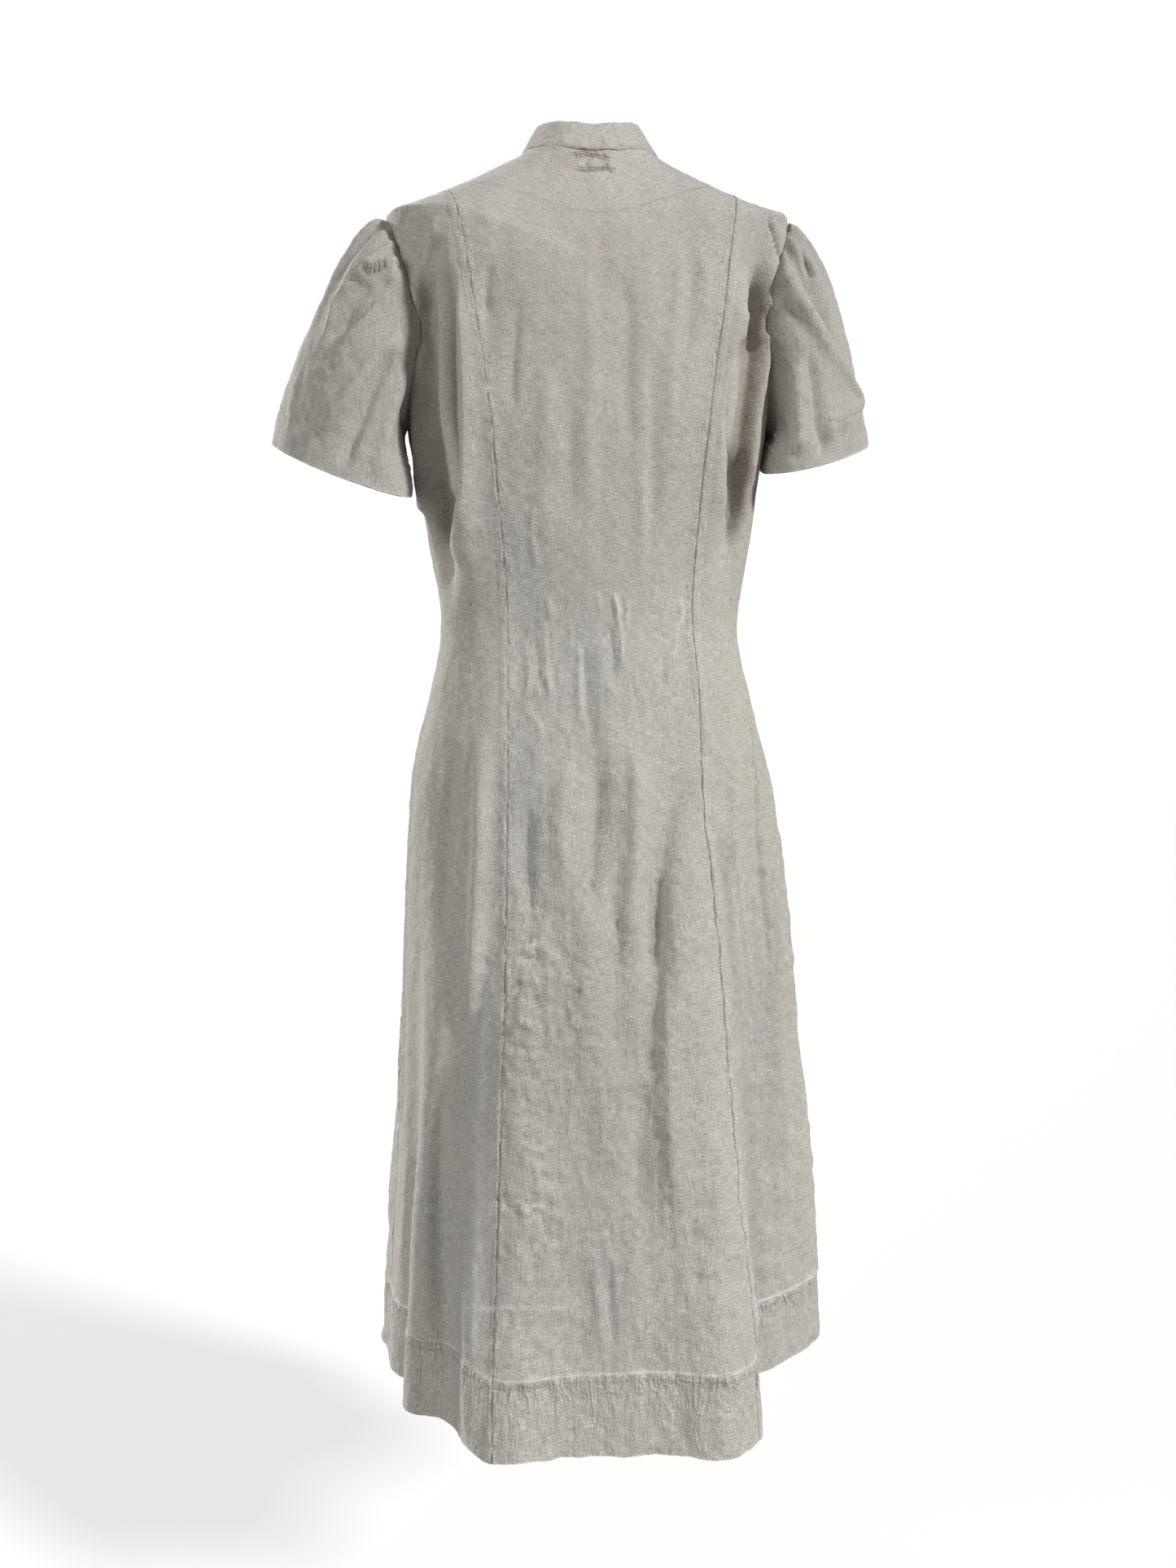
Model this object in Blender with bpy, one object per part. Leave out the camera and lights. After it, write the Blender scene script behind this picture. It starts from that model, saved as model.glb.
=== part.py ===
"""Uniform smock dress in its worn shape: thin cloth walls, one object for each cut piece.

Metres, +Z up. The front faces -Y and the wearer's left is +X. The origin is the middle of the
neck, level with the two points where the neck seam meets the shoulder seams.
"""

import math

import bmesh
import bpy
import numpy as np
from mathutils import Matrix, Vector

# Cloth
WALL = 0.0016
HEM_EXTRA = 0.0008
HEM_STEP = 0.004
SEAM_GAP = 0.0003
SEAM_DRAW_IN = 0.0002
SHARP_CLOTH = math.radians(50.0)

# Lengths measured "down" the side of the dress: over the shoulder, then straight down
NECK = 0.0
PRINCESS_TOP = 0.075
SHOULDER_TIP = 0.150
UNDERARM = 0.345
WAIST = 0.545
HEM_STITCH = 1.215
HEM = 1.275

# The rings of the body. "drop" is how much lower a ring lies at the middle of the back or
# front than at the side, and "squareness" is the power of its superellipse.
RING_COLUMNS = ("down", "side_z", "half_width", "back", "front", "back_drop", "front_drop", "squareness")
RINGS = (
    (0.000, 0.000, 0.070, 0.062, 0.068, 0.016, 0.066, 2.0),
    (0.075, -0.037, 0.139, 0.088, 0.088, 0.050, 0.078, 2.2),
    (0.138, -0.060, 0.191, 0.097, 0.105, 0.068, 0.093, 2.4),
    (0.150, -0.064, 0.200, 0.099, 0.108, 0.071, 0.096, 2.4),
    (0.240, -0.155, 0.188, 0.104, 0.124, 0.035, 0.045, 2.4),
    (0.345, -0.260, 0.179, 0.102, 0.134, 0.000, 0.000, 2.4),
    (0.445, -0.360, 0.163, 0.091, 0.120, 0.000, 0.000, 2.3),
    (0.545, -0.460, 0.149, 0.084, 0.106, 0.000, 0.000, 2.2),
    (0.625, -0.540, 0.163, 0.096, 0.114, 0.000, 0.000, 2.2),
    (0.700, -0.615, 0.177, 0.112, 0.124, 0.000, 0.000, 2.2),
    (0.850, -0.765, 0.187, 0.142, 0.144, 0.000, 0.000, 2.2),
    (1.000, -0.915, 0.191, 0.166, 0.162, 0.000, 0.000, 2.1),
    (1.150, -1.065, 0.198, 0.190, 0.180, 0.000, 0.000, 2.1),
    (1.275, -1.190, 0.205, 0.206, 0.194, 0.000, 0.000, 2.1),
)

# How far the princess seams lie from the middle of the back and of the front
SEAM_COLUMNS = ("down", "back_left", "back_right", "front")
SEAMS = (
    (0.075, 0.143, 0.139, 0.140),
    (0.150, 0.132, 0.130, 0.124),
    (0.240, 0.118, 0.118, 0.106),
    (0.345, 0.105, 0.105, 0.096),
    (0.445, 0.095, 0.095, 0.084),
    (0.545, 0.088, 0.089, 0.074),
    (0.630, 0.089, 0.092, 0.080),
    (0.860, 0.093, 0.096, 0.092),
    (1.030, 0.096, 0.100, 0.100),
    (1.275, 0.101, 0.105, 0.110),
)

# The wearer's left shoulder hangs lower than the right: metres of drop for each metre across,
# which dies out at the waist
SHOULDER_TILT = 0.030

# Folds stand out from the rings, or dip into them where "out" is negative. Their angle is
# counted from the wearer's left side, through the middle of the back at 90 degrees. Each one
# fades in over "fade" at its upper and lower end, and those that end below the hem run through it.
FOLD_COLUMNS = ("top_z", "bottom_z", "top_angle", "bottom_angle", "half_width", "out", "fade")
FOLDS = (
    (-0.080, -0.460, 21.0, 12.0, 6.0, -0.020, 0.100),
    (-0.120, -0.460, 31.0, 24.0, 5.0, 0.006, 0.100),
    (-0.080, -0.430, 159.0, 155.0, 6.0, -0.020, 0.100),
    (-0.120, -0.430, 149.0, 146.0, 5.0, 0.006, 0.100),
    (-0.080, -0.400, 334.0, 330.0, 8.0, -0.009, 0.120),
    (-0.080, -0.400, 206.0, 210.0, 8.0, -0.009, 0.120),
    (-0.560, -1.900, 60.0, 62.0, 11.0, 0.026, 0.700),
    (-0.560, -1.900, 122.0, 114.0, 12.0, 0.033, 0.640),
    (-0.560, -1.900, 148.0, 144.0, 13.0, -0.040, 0.640),
    (-0.500, -1.900, 166.0, 175.0, 9.0, 0.028, 0.600),
    (-0.700, -1.900, 40.0, 44.0, 8.0, -0.008, 0.500),
    (-0.600, -1.900, 30.0, 31.0, 7.0, 0.010, 0.500),
    (-0.700, -1.900, 18.0, 20.0, 6.0, -0.012, 0.400),
    (-0.600, -0.950, 92.0, 92.0, 6.0, -0.006, 0.120),
    (-0.600, -0.950, 82.0, 81.0, 6.0, 0.004, 0.120),
    (-0.620, -0.980, 108.0, 101.0, 6.0, -0.006, 0.120),
    (-0.600, -1.900, 300.0, 298.0, 11.0, 0.024, 0.640),
    (-0.600, -1.900, 240.0, 243.0, 11.0, 0.024, 0.640),
    (-0.600, -1.900, 326.0, 325.0, 11.0, -0.026, 0.640),
    (-0.600, -1.900, 214.0, 213.0, 11.0, -0.026, 0.640),
    (-0.600, -1.900, 350.0, 350.0, 9.0, 0.012, 0.600),
    (-0.600, -1.900, 192.0, 191.0, 9.0, 0.024, 0.600),
)

# Columns and rows of faces
BACK_COLUMNS = 22
SIDE_COLUMNS = 11
FRONT_COLUMNS = 9
NECK_ROWS = 3
ARMHOLE_ROWS = 8
BODICE_ROWS = 4
SKIRT_ROWS = 10
HEM_ROWS = 1

# Armholes: the widest angle that each takes out of the back and the front
ARMHOLE_BACK = math.radians(14.0)
ARMHOLE_FRONT = math.radians(20.0)

# Front opening, wearer's right over left
LAP_HALF = 0.015
LAP_RAMP = 0.020
LAP_CLEAR = 0.004
LAP_LOOSE = 0.0002

# Band collar
BAND_HEIGHT = 0.031
BAND_LEAN = 0.018
BAND_CLEAR = 0.00045
BAND_ROWS = 2

# Sleeves: each hem's middle, the way from it to its outer edge and to its back edge, x outward
SLEEVE_HEMS = {
    "left": ((0.247, -0.004, -0.309), (0.068, -0.028, 0.031), (0.0, 0.064, -0.022)),
    "right": ((0.236, -0.004, -0.284), (0.060, -0.028, 0.025), (0.0, 0.064, -0.022)),
}
SLEEVE_LEAVES_TOP = np.array([0.038, 0.0, -0.006])
SLEEVE_LEAVES_UNDER = np.array([0.020, 0.0, -0.012])
SLEEVE_LEAVES_BACK = np.array([0.0, 0.026, -0.012])
SLEEVE_ARRIVES_TOP = np.array([0.012, 0.0, -0.075])
SLEEVE_ARRIVES_UNDER = np.array([0.004, 0.0, -0.030])
SLEEVE_ARRIVES_BACK = np.array([0.0, 0.008, 0.0])
OUTWARD_X = {"left": np.array([1.0, 1.0, 1.0]), "right": np.array([-1.0, 1.0, 1.0])}
SLEEVE_SEGMENTS = 48
SLEEVE_ROWS = 9
SLEEVE_HEM_SHARE = 0.87
SLEEVE_FIRST_SHARES = (0.0, 0.035)
SLEEVE_EVEN_FROM = 0.12
SLEEVE_START = 0.0014
PLEAT_ANGLES = (-67.5, -45.0, -22.5, 22.5, 45.0, 67.5)
PLEAT_HALF_WIDTH = 7.0
PLEAT_OUT = 0.006
PLEAT_STARTS = 0.10
PLEAT_ENDS = 0.75
PLEAT_DIES_OVER = 0.60

# Buttons
BUTTON_RADIUS = 0.0075
BUTTON_THICK = 0.0030
BUTTON_SIDES = 14
BUTTON_GAP = 0.0005
RAY_START = 0.05
FRONT_BUTTONS = 10
FIRST_BUTTON_Z = -0.100
LAST_BUTTON_Z = -1.060
HIP_BUTTON_ANGLE = math.radians(184.0)
HIP_BUTTON_DOWN = 0.669
HIP_BUTTON_RADIUS = 0.0060

LINEN = (0.50, 0.475, 0.43, 1.0)
DARK_BUTTON = (0.035, 0.03, 0.028, 1.0)


def clear_scene():
    for thing in list(bpy.data.objects):
        bpy.data.objects.remove(thing)


def make_material(name, colour, roughness):
    """A Principled material without metal."""
    material = bpy.data.materials.new(name)
    material.use_nodes = True
    shader = material.node_tree.nodes["Principled BSDF"]
    shader.inputs["Base Color"].default_value = colour
    shader.inputs["Roughness"].default_value = roughness
    shader.inputs["Metallic"].default_value = 0.0
    return material


def ease(value):
    """Smooth step from 0 to 1."""
    value = np.clip(value, 0.0, 1.0)
    return value * value * (3.0 - 2.0 * value)


def smooth_read(where, xs, ys):
    """Read a table along a smooth curve that never overshoots its rows."""
    xs = np.asarray(xs, float)
    ys = np.asarray(ys, float)
    where = np.clip(where, xs[0], xs[-1])
    steps = np.diff(ys) / np.diff(xs)
    slopes = np.zeros_like(ys)
    same_way = steps[:-1] * steps[1:] > 0.0
    total = np.where(same_way, steps[:-1] + steps[1:], 1.0)
    slopes[1:-1] = np.where(same_way, 2.0 * steps[:-1] * steps[1:] / total, 0.0)
    slopes[0] = steps[0]
    slopes[-1] = steps[-1]
    row = np.clip(np.searchsorted(xs, where, side="right") - 1, 0, len(xs) - 2)
    span = xs[row + 1] - xs[row]
    part = (where - xs[row]) / span
    rise = part * part * (3.0 - 2.0 * part)
    start_pull = part * (1.0 - part) ** 2
    end_pull = part * part * (part - 1.0)
    level = ys[row] + (ys[row + 1] - ys[row]) * rise
    return level + span * (slopes[row] * start_pull + slopes[row + 1] * end_pull)


def ring_value(name, down):
    column = RING_COLUMNS.index(name)
    return smooth_read(down, [row[0] for row in RINGS], [row[column] for row in RINGS])


def seam_x(name, down):
    column = SEAM_COLUMNS.index(name)
    return smooth_read(down, [row[0] for row in SEAMS], [row[column] for row in SEAMS])


def bump(away, half_width):
    """A smooth ridge of height 1, down to a third of it at its half width."""
    return np.exp(-1.1 * (away / half_width) ** 2)


def fold_out(angle, z):
    """How far the folds stand out at an angle and a height."""
    degrees = np.degrees(angle)
    out = np.zeros(np.broadcast(angle, z).shape)
    for top_z, bottom_z, top_angle, bottom_angle, half_width, height, fade in FOLDS:
        along = np.clip((top_z - z) / (top_z - max(bottom_z, RINGS[-1][1])), 0.0, 1.0)
        middle = top_angle + (bottom_angle - top_angle) * along
        away = (degrees - middle + 180.0) % 360.0 - 180.0
        strength = ease((top_z - z) / fade) * ease((z - bottom_z) / fade)
        out = out + height * bump(away, half_width) * strength
    return out


def body(angle, down):
    """A point of the dress's middle surface."""
    angle = np.asarray(angle, float)
    down = np.asarray(down, float)
    across = np.cos(angle)
    deep = np.sin(angle)
    at_back = deep > 0.0
    half_width = ring_value("half_width", down)
    half_depth = np.where(at_back, ring_value("back", down), ring_value("front", down))
    drop = np.where(at_back, ring_value("back_drop", down), ring_value("front_drop", down))
    power = ring_value("squareness", down)
    radius = (np.abs(across / half_width) ** power + np.abs(deep / half_depth) ** power) ** (-1.0 / power)
    z = ring_value("side_z", down) - drop * deep * deep
    x = radius * across
    y = radius * deep
    normal_x = np.sign(x) * np.abs(x / half_width) ** (power - 1.0) / half_width
    normal_y = np.sign(y) * np.abs(y / half_depth) ** (power - 1.0) / half_depth
    out = fold_out(angle, z) / np.hypot(normal_x, normal_y)
    x = x + normal_x * out
    y = y + normal_y * out
    tilt = SHOULDER_TILT * x * ease((WAIST - down) / (WAIST - SHOULDER_TIP))
    return np.stack([x, y, z - tilt], axis=-1)


def body_normal(angle, down):
    """The outward normal of the dress's middle surface."""
    small = 1e-4
    low = np.clip(down - small, RINGS[0][0], RINGS[-1][0])
    high = np.clip(down + small, RINGS[0][0], RINGS[-1][0])
    around = body(angle + small, down) - body(angle - small, down)
    downward = body(angle, high) - body(angle, low)
    normal = np.cross(downward, around)
    return normal / np.linalg.norm(normal, axis=-1, keepdims=True)


def seam_angle(half, side, down):
    """Angle between a princess seam and the side of the ring."""
    x = seam_x("back_" + side if half == "back" else "front", down)
    power = ring_value("squareness", down)
    share = np.clip(x / ring_value("half_width", down), 0.0, 1.0)
    y = ring_value(half, down) * (1.0 - share**power) ** (1.0 / power)
    return np.where(down <= PRINCESS_TOP + 1e-9, 0.0, np.arctan2(y, x))


def down_stations():
    """The rows that every panel's edges share, from the neck seam to the hem."""
    neck = np.linspace(NECK, PRINCESS_TOP, NECK_ROWS + 1)
    arm = np.linspace(PRINCESS_TOP, UNDERARM, ARMHOLE_ROWS + 1)
    bodice = np.linspace(UNDERARM, WAIST, BODICE_ROWS + 1)
    skirt = np.linspace(WAIST, HEM_STITCH, SKIRT_ROWS + 1)
    hem = np.linspace(HEM_STITCH + HEM_STEP, HEM, HEM_ROWS + 1)
    return np.concatenate([neck, arm[1:], bodice[1:], skirt[1:], hem])


def armhole_curve(stations, widest):
    """Angle and down of an armhole, one point for each row from the shoulder to the underarm."""
    turn = np.linspace(0.0, math.pi, stations)
    down = SHOULDER_TIP + (UNDERARM - SHOULDER_TIP) * (1.0 - np.cos(turn)) / 2.0
    return widest * np.sin(turn), down


EDGE_LINES = {
    "top": (np.s_[0], np.s_[1]),
    "start": (np.s_[:, 0], np.s_[:, 1]),
    "end": (np.s_[:, -1], np.s_[:, -2]),
}


def move_edge(points, normals, amount, sides):
    """Draw a grid's chosen edges in by an amount, square to the edge and in the surface."""
    moved = points.copy()
    for side in sides:
        line, next_line = EDGE_LINES[side]
        edge = points[line]
        along = np.gradient(edge, axis=0)
        inward = np.cross(normals[line], along)
        inward /= np.linalg.norm(inward, axis=-1, keepdims=True)
        facing = np.sign(np.sum(inward * (points[next_line] - edge), axis=-1, keepdims=True))
        moved[line] += inward * facing * amount
    return moved


def cloth_wall(name, outer, inner, material, closed=False):
    """A wall between two grids of points, made by extruding a grid's faces."""
    rows, columns = outer.shape[:2]
    mesh = bpy.data.meshes.new(name)
    work = bmesh.new()
    bmesh.ops.create_grid(work, x_segments=columns - 1, y_segments=rows - 1, size=0.5)
    spot = work.verts.layers.int.new("spot")
    for vertex in work.verts:
        column = round((vertex.co.x + 0.5) * (columns - 1))
        row = round((vertex.co.y + 0.5) * (rows - 1))
        vertex[spot] = row * columns + column
    outer_points = outer.reshape(-1, 3)
    inner_points = inner.reshape(-1, 3)
    for vertex in work.verts:
        vertex.co = outer_points[vertex[spot]]
    if closed:
        bmesh.ops.remove_doubles(work, verts=work.verts[:], dist=1e-6)
    made = bmesh.ops.extrude_face_region(work, geom=work.faces[:], use_keep_orig=True)
    for vertex in made["geom"]:
        if isinstance(vertex, bmesh.types.BMVert):
            vertex.co = inner_points[vertex[spot]]
    bmesh.ops.recalc_face_normals(work, faces=work.faces[:])
    work.to_mesh(mesh)
    work.free()
    mesh.shade_smooth()
    mesh.set_sharp_from_angle(angle=SHARP_CLOTH)
    mesh.materials.append(material)
    thing = bpy.data.objects.new(name, mesh)
    bpy.context.scene.collection.objects.link(thing)
    return thing


def hem_extra(down):
    """The hem is turned up inside, so the wall is thicker there on its inner side."""
    return HEM_EXTRA * ease((down - HEM_STITCH) / HEM_STEP)


def body_panel(name, angle, down, material, drawn_in, lap=None):
    """A cloth panel over a grid of angles and downs."""
    normals = body_normal(angle, down)
    points = body(angle, down)
    points = move_edge(points, normals, SEAM_DRAW_IN, drawn_in)
    if lap is not None:
        points = points + normals * lap[..., None]
    outer = points + normals * (WALL / 2.0)
    inner = points - normals * (WALL / 2.0 + hem_extra(down))[..., None]
    return cloth_wall(name, outer, inner, material)


def ruled(first, last, columns):
    """Grid values that run evenly from one edge to the other."""
    share = np.linspace(0.0, 1.0, columns + 1)[None, :]
    return first[:, None] * (1.0 - share) + last[:, None] * share


def back_center(material):
    down = down_stations()
    right = math.pi - seam_angle("back", "right", down)
    left = seam_angle("back", "left", down)
    angle = ruled(right, left, BACK_COLUMNS)
    rows = np.repeat(down[:, None], BACK_COLUMNS + 1, axis=1)
    return body_panel("back_center", angle, rows, material, ("top", "start", "end"))


def side_panel(name, half, side, material):
    """A side back or side front panel, from its armhole and side seam to its princess seam."""
    stations = down_stations()
    princess_down = stations[NECK_ROWS:]
    widest = ARMHOLE_BACK if half == "back" else ARMHOLE_FRONT
    arm_angle, arm_down = armhole_curve(ARMHOLE_ROWS + 1, widest)
    rest = princess_down[ARMHOLE_ROWS + 1 :]
    outer_angle = np.concatenate([arm_angle, np.zeros(len(rest))])
    outer_down = np.concatenate([arm_down, rest])
    princess_angle = seam_angle(half, side, princess_down)
    angle = ruled(outer_angle, princess_angle, SIDE_COLUMNS)
    down = ruled(outer_down, princess_down, SIDE_COLUMNS)
    if half == "front":
        angle = -angle
    if side == "right":
        angle = math.pi - angle
    return body_panel(name, angle, down, material, ("top", "start", "end"))


def lap_angle(down, past):
    """Angle at the front that lies the given distance past the middle."""
    return np.arctan2(past, ring_value("front", down))


def lap_lift(points, down):
    """How far the upper front is lifted over the under one."""
    full = WALL + SEAM_GAP + LAP_LOOSE + hem_extra(down)
    return full * ease((points[..., 0] + LAP_HALF + LAP_CLEAR + LAP_RAMP) / LAP_RAMP)


def front_panel(name, side, material):
    """A middle front panel, from its princess seam to its edge past the middle."""
    down = down_stations()
    edge = -seam_angle("front", side, down)
    past = -math.pi / 2.0 - lap_angle(down, LAP_HALF)
    angle = ruled(edge, past, FRONT_COLUMNS)
    rows = np.repeat(down[:, None], FRONT_COLUMNS + 1, axis=1)
    lap = None
    if side == "right":
        angle = math.pi - angle
        lap = lap_lift(body(angle, rows), rows)
    return body_panel(name, angle, rows, material, ("top", "start"), lap)


def collar_band(material):
    """A band that stands on the neck seam and laps over itself at the front."""
    zero = np.zeros(1)
    past = float(lap_angle(zero, LAP_HALF)[0])
    left_front = np.linspace(-math.pi / 2.0 - past, 0.0, FRONT_COLUMNS + 1)
    back = np.linspace(0.0, math.pi, BACK_COLUMNS + 1)
    right_front = np.linspace(math.pi, 1.5 * math.pi + past, FRONT_COLUMNS + 1)
    angle = np.concatenate([left_front, back[1:], right_front[1:]])
    base = body(angle, np.zeros_like(angle))
    toward_middle = -base * (1.0, 1.0, 0.0)
    toward_middle /= np.linalg.norm(toward_middle, axis=-1, keepdims=True)
    rise = np.array([0.0, 0.0, BAND_HEIGHT]) + toward_middle * BAND_LEAN
    rise_way = rise / np.linalg.norm(rise, axis=-1, keepdims=True)
    along = np.gradient(base, axis=0)
    normal = np.cross(along, rise_way)
    normal /= np.linalg.norm(normal, axis=-1, keepdims=True)
    share = np.linspace(0.0, 1.0, BAND_ROWS + 1)[:, None, None]
    start = base + rise_way * BAND_CLEAR
    points = start[None] + rise[None] * share
    over = angle > math.pi
    lift = lap_lift(base, zero) * over
    points = points + (normal * lift[:, None])[None]
    outer = points + normal[None] * (WALL / 2.0)
    inner = points - normal[None] * (WALL / 2.0)
    return cloth_wall("collar_band", outer, inner, material)


def armhole_ring(share, side):
    """Armhole points and outward directions, read round the hole from 0 to 1, with x outward."""
    back_angle, back_down = armhole_curve(ARMHOLE_ROWS + 1, ARMHOLE_BACK)
    front_angle, front_down = armhole_curve(ARMHOLE_ROWS + 1, ARMHOLE_FRONT)
    angle = np.concatenate([back_angle, -front_angle[-2::-1]])
    down = np.concatenate([back_down, front_down[-2::-1]])
    if side == "right":
        angle = math.pi - angle
    outward_x = OUTWARD_X[side]
    points = body(angle, down) * outward_x
    normals = body_normal(angle, down) * outward_x
    at = np.linspace(0.0, 1.0, len(angle))
    ring = np.stack([np.interp(share, at, points[:, axis]) for axis in range(3)], axis=-1)
    outward = np.stack([np.interp(share, at, normals[:, axis]) for axis in range(3)], axis=-1)
    return ring, outward / np.linalg.norm(outward, axis=-1, keepdims=True)


def sleeve_points(side):
    """Middle surface of a sleeve, rows from the armhole to the hem, with x outward."""
    share = np.linspace(0.0, 1.0, SLEEVE_SEGMENTS + 1)
    turn = 2.0 * math.pi * share
    ring, outward = armhole_ring(share, side)
    start = ring + outward * SLEEVE_START
    cosine = np.cos(turn)[:, None]
    sine = np.sin(turn)[:, None]
    middle, across, backward = np.array(SLEEVE_HEMS[side])
    end = middle + across * cosine + backward * sine
    top = (1.0 + cosine) / 2.0
    leave = SLEEVE_LEAVES_TOP * top + SLEEVE_LEAVES_UNDER * (1.0 - top) + SLEEVE_LEAVES_BACK * sine
    arrive = SLEEVE_ARRIVES_TOP * top + SLEEVE_ARRIVES_UNDER * (1.0 - top) + SLEEVE_ARRIVES_BACK * sine
    rows = []
    part = np.concatenate([SLEEVE_FIRST_SHARES, np.linspace(SLEEVE_EVEN_FROM, 1.0, SLEEVE_ROWS - 1)])
    for value in part:
        back = 1.0 - value
        row = (
            start * back**3
            + (start + leave) * 3.0 * back**2 * value
            + (end - arrive) * 3.0 * back * value**2
            + end * value**3
        )
        rows.append(row)
    return np.array(rows), part, turn


def sleeve(name, side, material):
    points, part, turn = sleeve_points(side)
    around = np.gradient(points, axis=1)
    around[:, 0] = points[:, 1] - points[:, -2]
    around[:, -1] = around[:, 0]
    along = np.gradient(points, axis=0)
    normal = np.cross(along, around)
    normal /= np.linalg.norm(normal, axis=-1, keepdims=True)
    degrees = np.degrees((turn + math.pi) % (2.0 * math.pi) - math.pi)
    pleats = sum(bump(degrees - at, PLEAT_HALF_WIDTH) for at in PLEAT_ANGLES)
    fade = ease(part / PLEAT_STARTS) * ease((PLEAT_ENDS - part) / PLEAT_DIES_OVER)
    points = points + normal * (PLEAT_OUT * pleats[None, :] * fade[:, None])[..., None]
    thick = np.where(part > SLEEVE_HEM_SHARE, WALL / 2.0 + HEM_EXTRA, WALL / 2.0)
    outer = points + normal * (WALL / 2.0)
    inner = points - normal * thick[:, None, None]
    outward_x = OUTWARD_X[side]
    return cloth_wall(name, outer * outward_x, inner * outward_x, material, closed=True)


def button(name, place, normal, radius, material):
    """A flat round button with a softened rim, its face along the normal."""
    profile = (
        (0.0, -0.5),
        (0.80, -0.5),
        (1.0, -0.1),
        (1.0, 0.2),
        (0.85, 0.5),
        (0.0, 0.5),
    )
    mesh = bpy.data.meshes.new(name)
    work = bmesh.new()
    corners = [work.verts.new((x * radius, 0.0, z * BUTTON_THICK)) for x, z in profile]
    edges = [work.edges.new(pair) for pair in zip(corners, corners[1:])]
    bmesh.ops.spin(
        work,
        geom=corners + edges,
        axis=(0.0, 0.0, 1.0),
        cent=(0.0, 0.0, 0.0),
        angle=2.0 * math.pi,
        steps=BUTTON_SIDES,
        use_merge=True,
    )
    bmesh.ops.remove_doubles(work, verts=work.verts[:], dist=1e-6)
    bmesh.ops.recalc_face_normals(work, faces=work.faces[:])
    turn = Vector((0.0, 0.0, 1.0)).rotation_difference(Vector(normal)).to_matrix().to_4x4()
    work.transform(Matrix.Translation(Vector(place)) @ turn)
    work.to_mesh(mesh)
    work.free()
    mesh.shade_smooth()
    mesh.set_sharp_from_angle(angle=math.radians(35.0))
    mesh.materials.append(material)
    thing = bpy.data.objects.new(name, mesh)
    bpy.context.scene.collection.objects.link(thing)
    return thing


def button_on(name, panel, angle, down, radius, material):
    """A button that rests on the outer face of a panel."""
    angle = np.array([angle])
    down = np.array([down])
    outward = Vector(body_normal(angle, down)[0])
    start = Vector(body(angle, down)[0]) + outward * RAY_START
    found, place, normal, _ = panel.ray_cast(start, -outward)
    if not found:
        raise ValueError("no cloth under " + name)
    return button(name, place + normal * (BUTTON_GAP + BUTTON_THICK / 2.0), normal, radius, material)


def front_button_downs():
    """Evenly spaced heights along the middle of the front, as lengths down the side."""
    down = np.linspace(NECK, HEM, 400)
    z = body(np.full_like(down, 1.5 * math.pi), down)[:, 2]
    wanted = np.linspace(FIRST_BUTTON_Z, LAST_BUTTON_Z, FRONT_BUTTONS)
    return np.interp(-wanted, -z, down)


def build():
    clear_scene()
    linen = make_material("linen", LINEN, 0.9)
    dark = make_material("dark_button", DARK_BUTTON, 0.35)
    back_center(linen)
    for side in ("left", "right"):
        side_panel("back_side_" + side, "back", side, linen)
        hip_panel = side_panel("front_side_" + side, "front", side, linen)
        upper_front = front_panel("front_" + side, side, linen)
        sleeve("sleeve_" + side, side, linen)
    collar_band(linen)
    bpy.context.view_layer.update()
    for number, down in enumerate(front_button_downs(), 1):
        button_on("front_button_%02d" % number, upper_front, 1.5 * math.pi, down, BUTTON_RADIUS, dark)
    button_on("hip_button", hip_panel, HIP_BUTTON_ANGLE, HIP_BUTTON_DOWN, HIP_BUTTON_RADIUS, dark)


build()
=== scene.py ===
# %% [markdown]
# # A linen smock dress, seen from behind
#
# The dress is a washed and much worn uniform smock: unbleached linen, a band collar, princess
# seams, short pleated sleeves, a flared skirt with a deep hem, and a buttoned front. It is shown
# in its worn shape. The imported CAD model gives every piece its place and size, and this lesson
# dresses it: each cut piece becomes a thin cloth wall with the creases, puckers, seams, stitches
# and stains that the eye expects of old linen.
#
# Everything here is in metres. Up is +Z, the front faces -Y and the wearer's left is +X.

# %% The frame
import itertools
import math

import bmesh
import bpy
import numpy as np
from mathutils import Matrix, Vector
from mathutils.bvhtree import BVHTree


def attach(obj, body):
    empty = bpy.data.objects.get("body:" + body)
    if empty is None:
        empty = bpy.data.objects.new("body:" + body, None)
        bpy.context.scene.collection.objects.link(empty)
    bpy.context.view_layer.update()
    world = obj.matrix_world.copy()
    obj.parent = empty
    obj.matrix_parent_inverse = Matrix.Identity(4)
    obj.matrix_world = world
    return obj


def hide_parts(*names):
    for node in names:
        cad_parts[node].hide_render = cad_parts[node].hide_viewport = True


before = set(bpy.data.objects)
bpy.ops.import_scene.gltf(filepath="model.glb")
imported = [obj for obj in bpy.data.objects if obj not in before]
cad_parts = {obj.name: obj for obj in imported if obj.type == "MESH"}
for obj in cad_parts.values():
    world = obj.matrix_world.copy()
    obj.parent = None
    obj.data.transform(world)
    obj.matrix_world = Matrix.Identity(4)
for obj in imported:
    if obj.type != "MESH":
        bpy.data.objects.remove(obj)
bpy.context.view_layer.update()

# %% [markdown]
# ## The camera
#
# The photograph was taken from behind, a little to the wearer's left, at about hip height, with
# a phone held slightly nose down. A camera is only a place, three directions and a focal length,
# so it is simplest to write those down. The focal length is given in pixels of the photograph,
# because the same number later turns a place in the picture into a line of sight.

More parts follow.
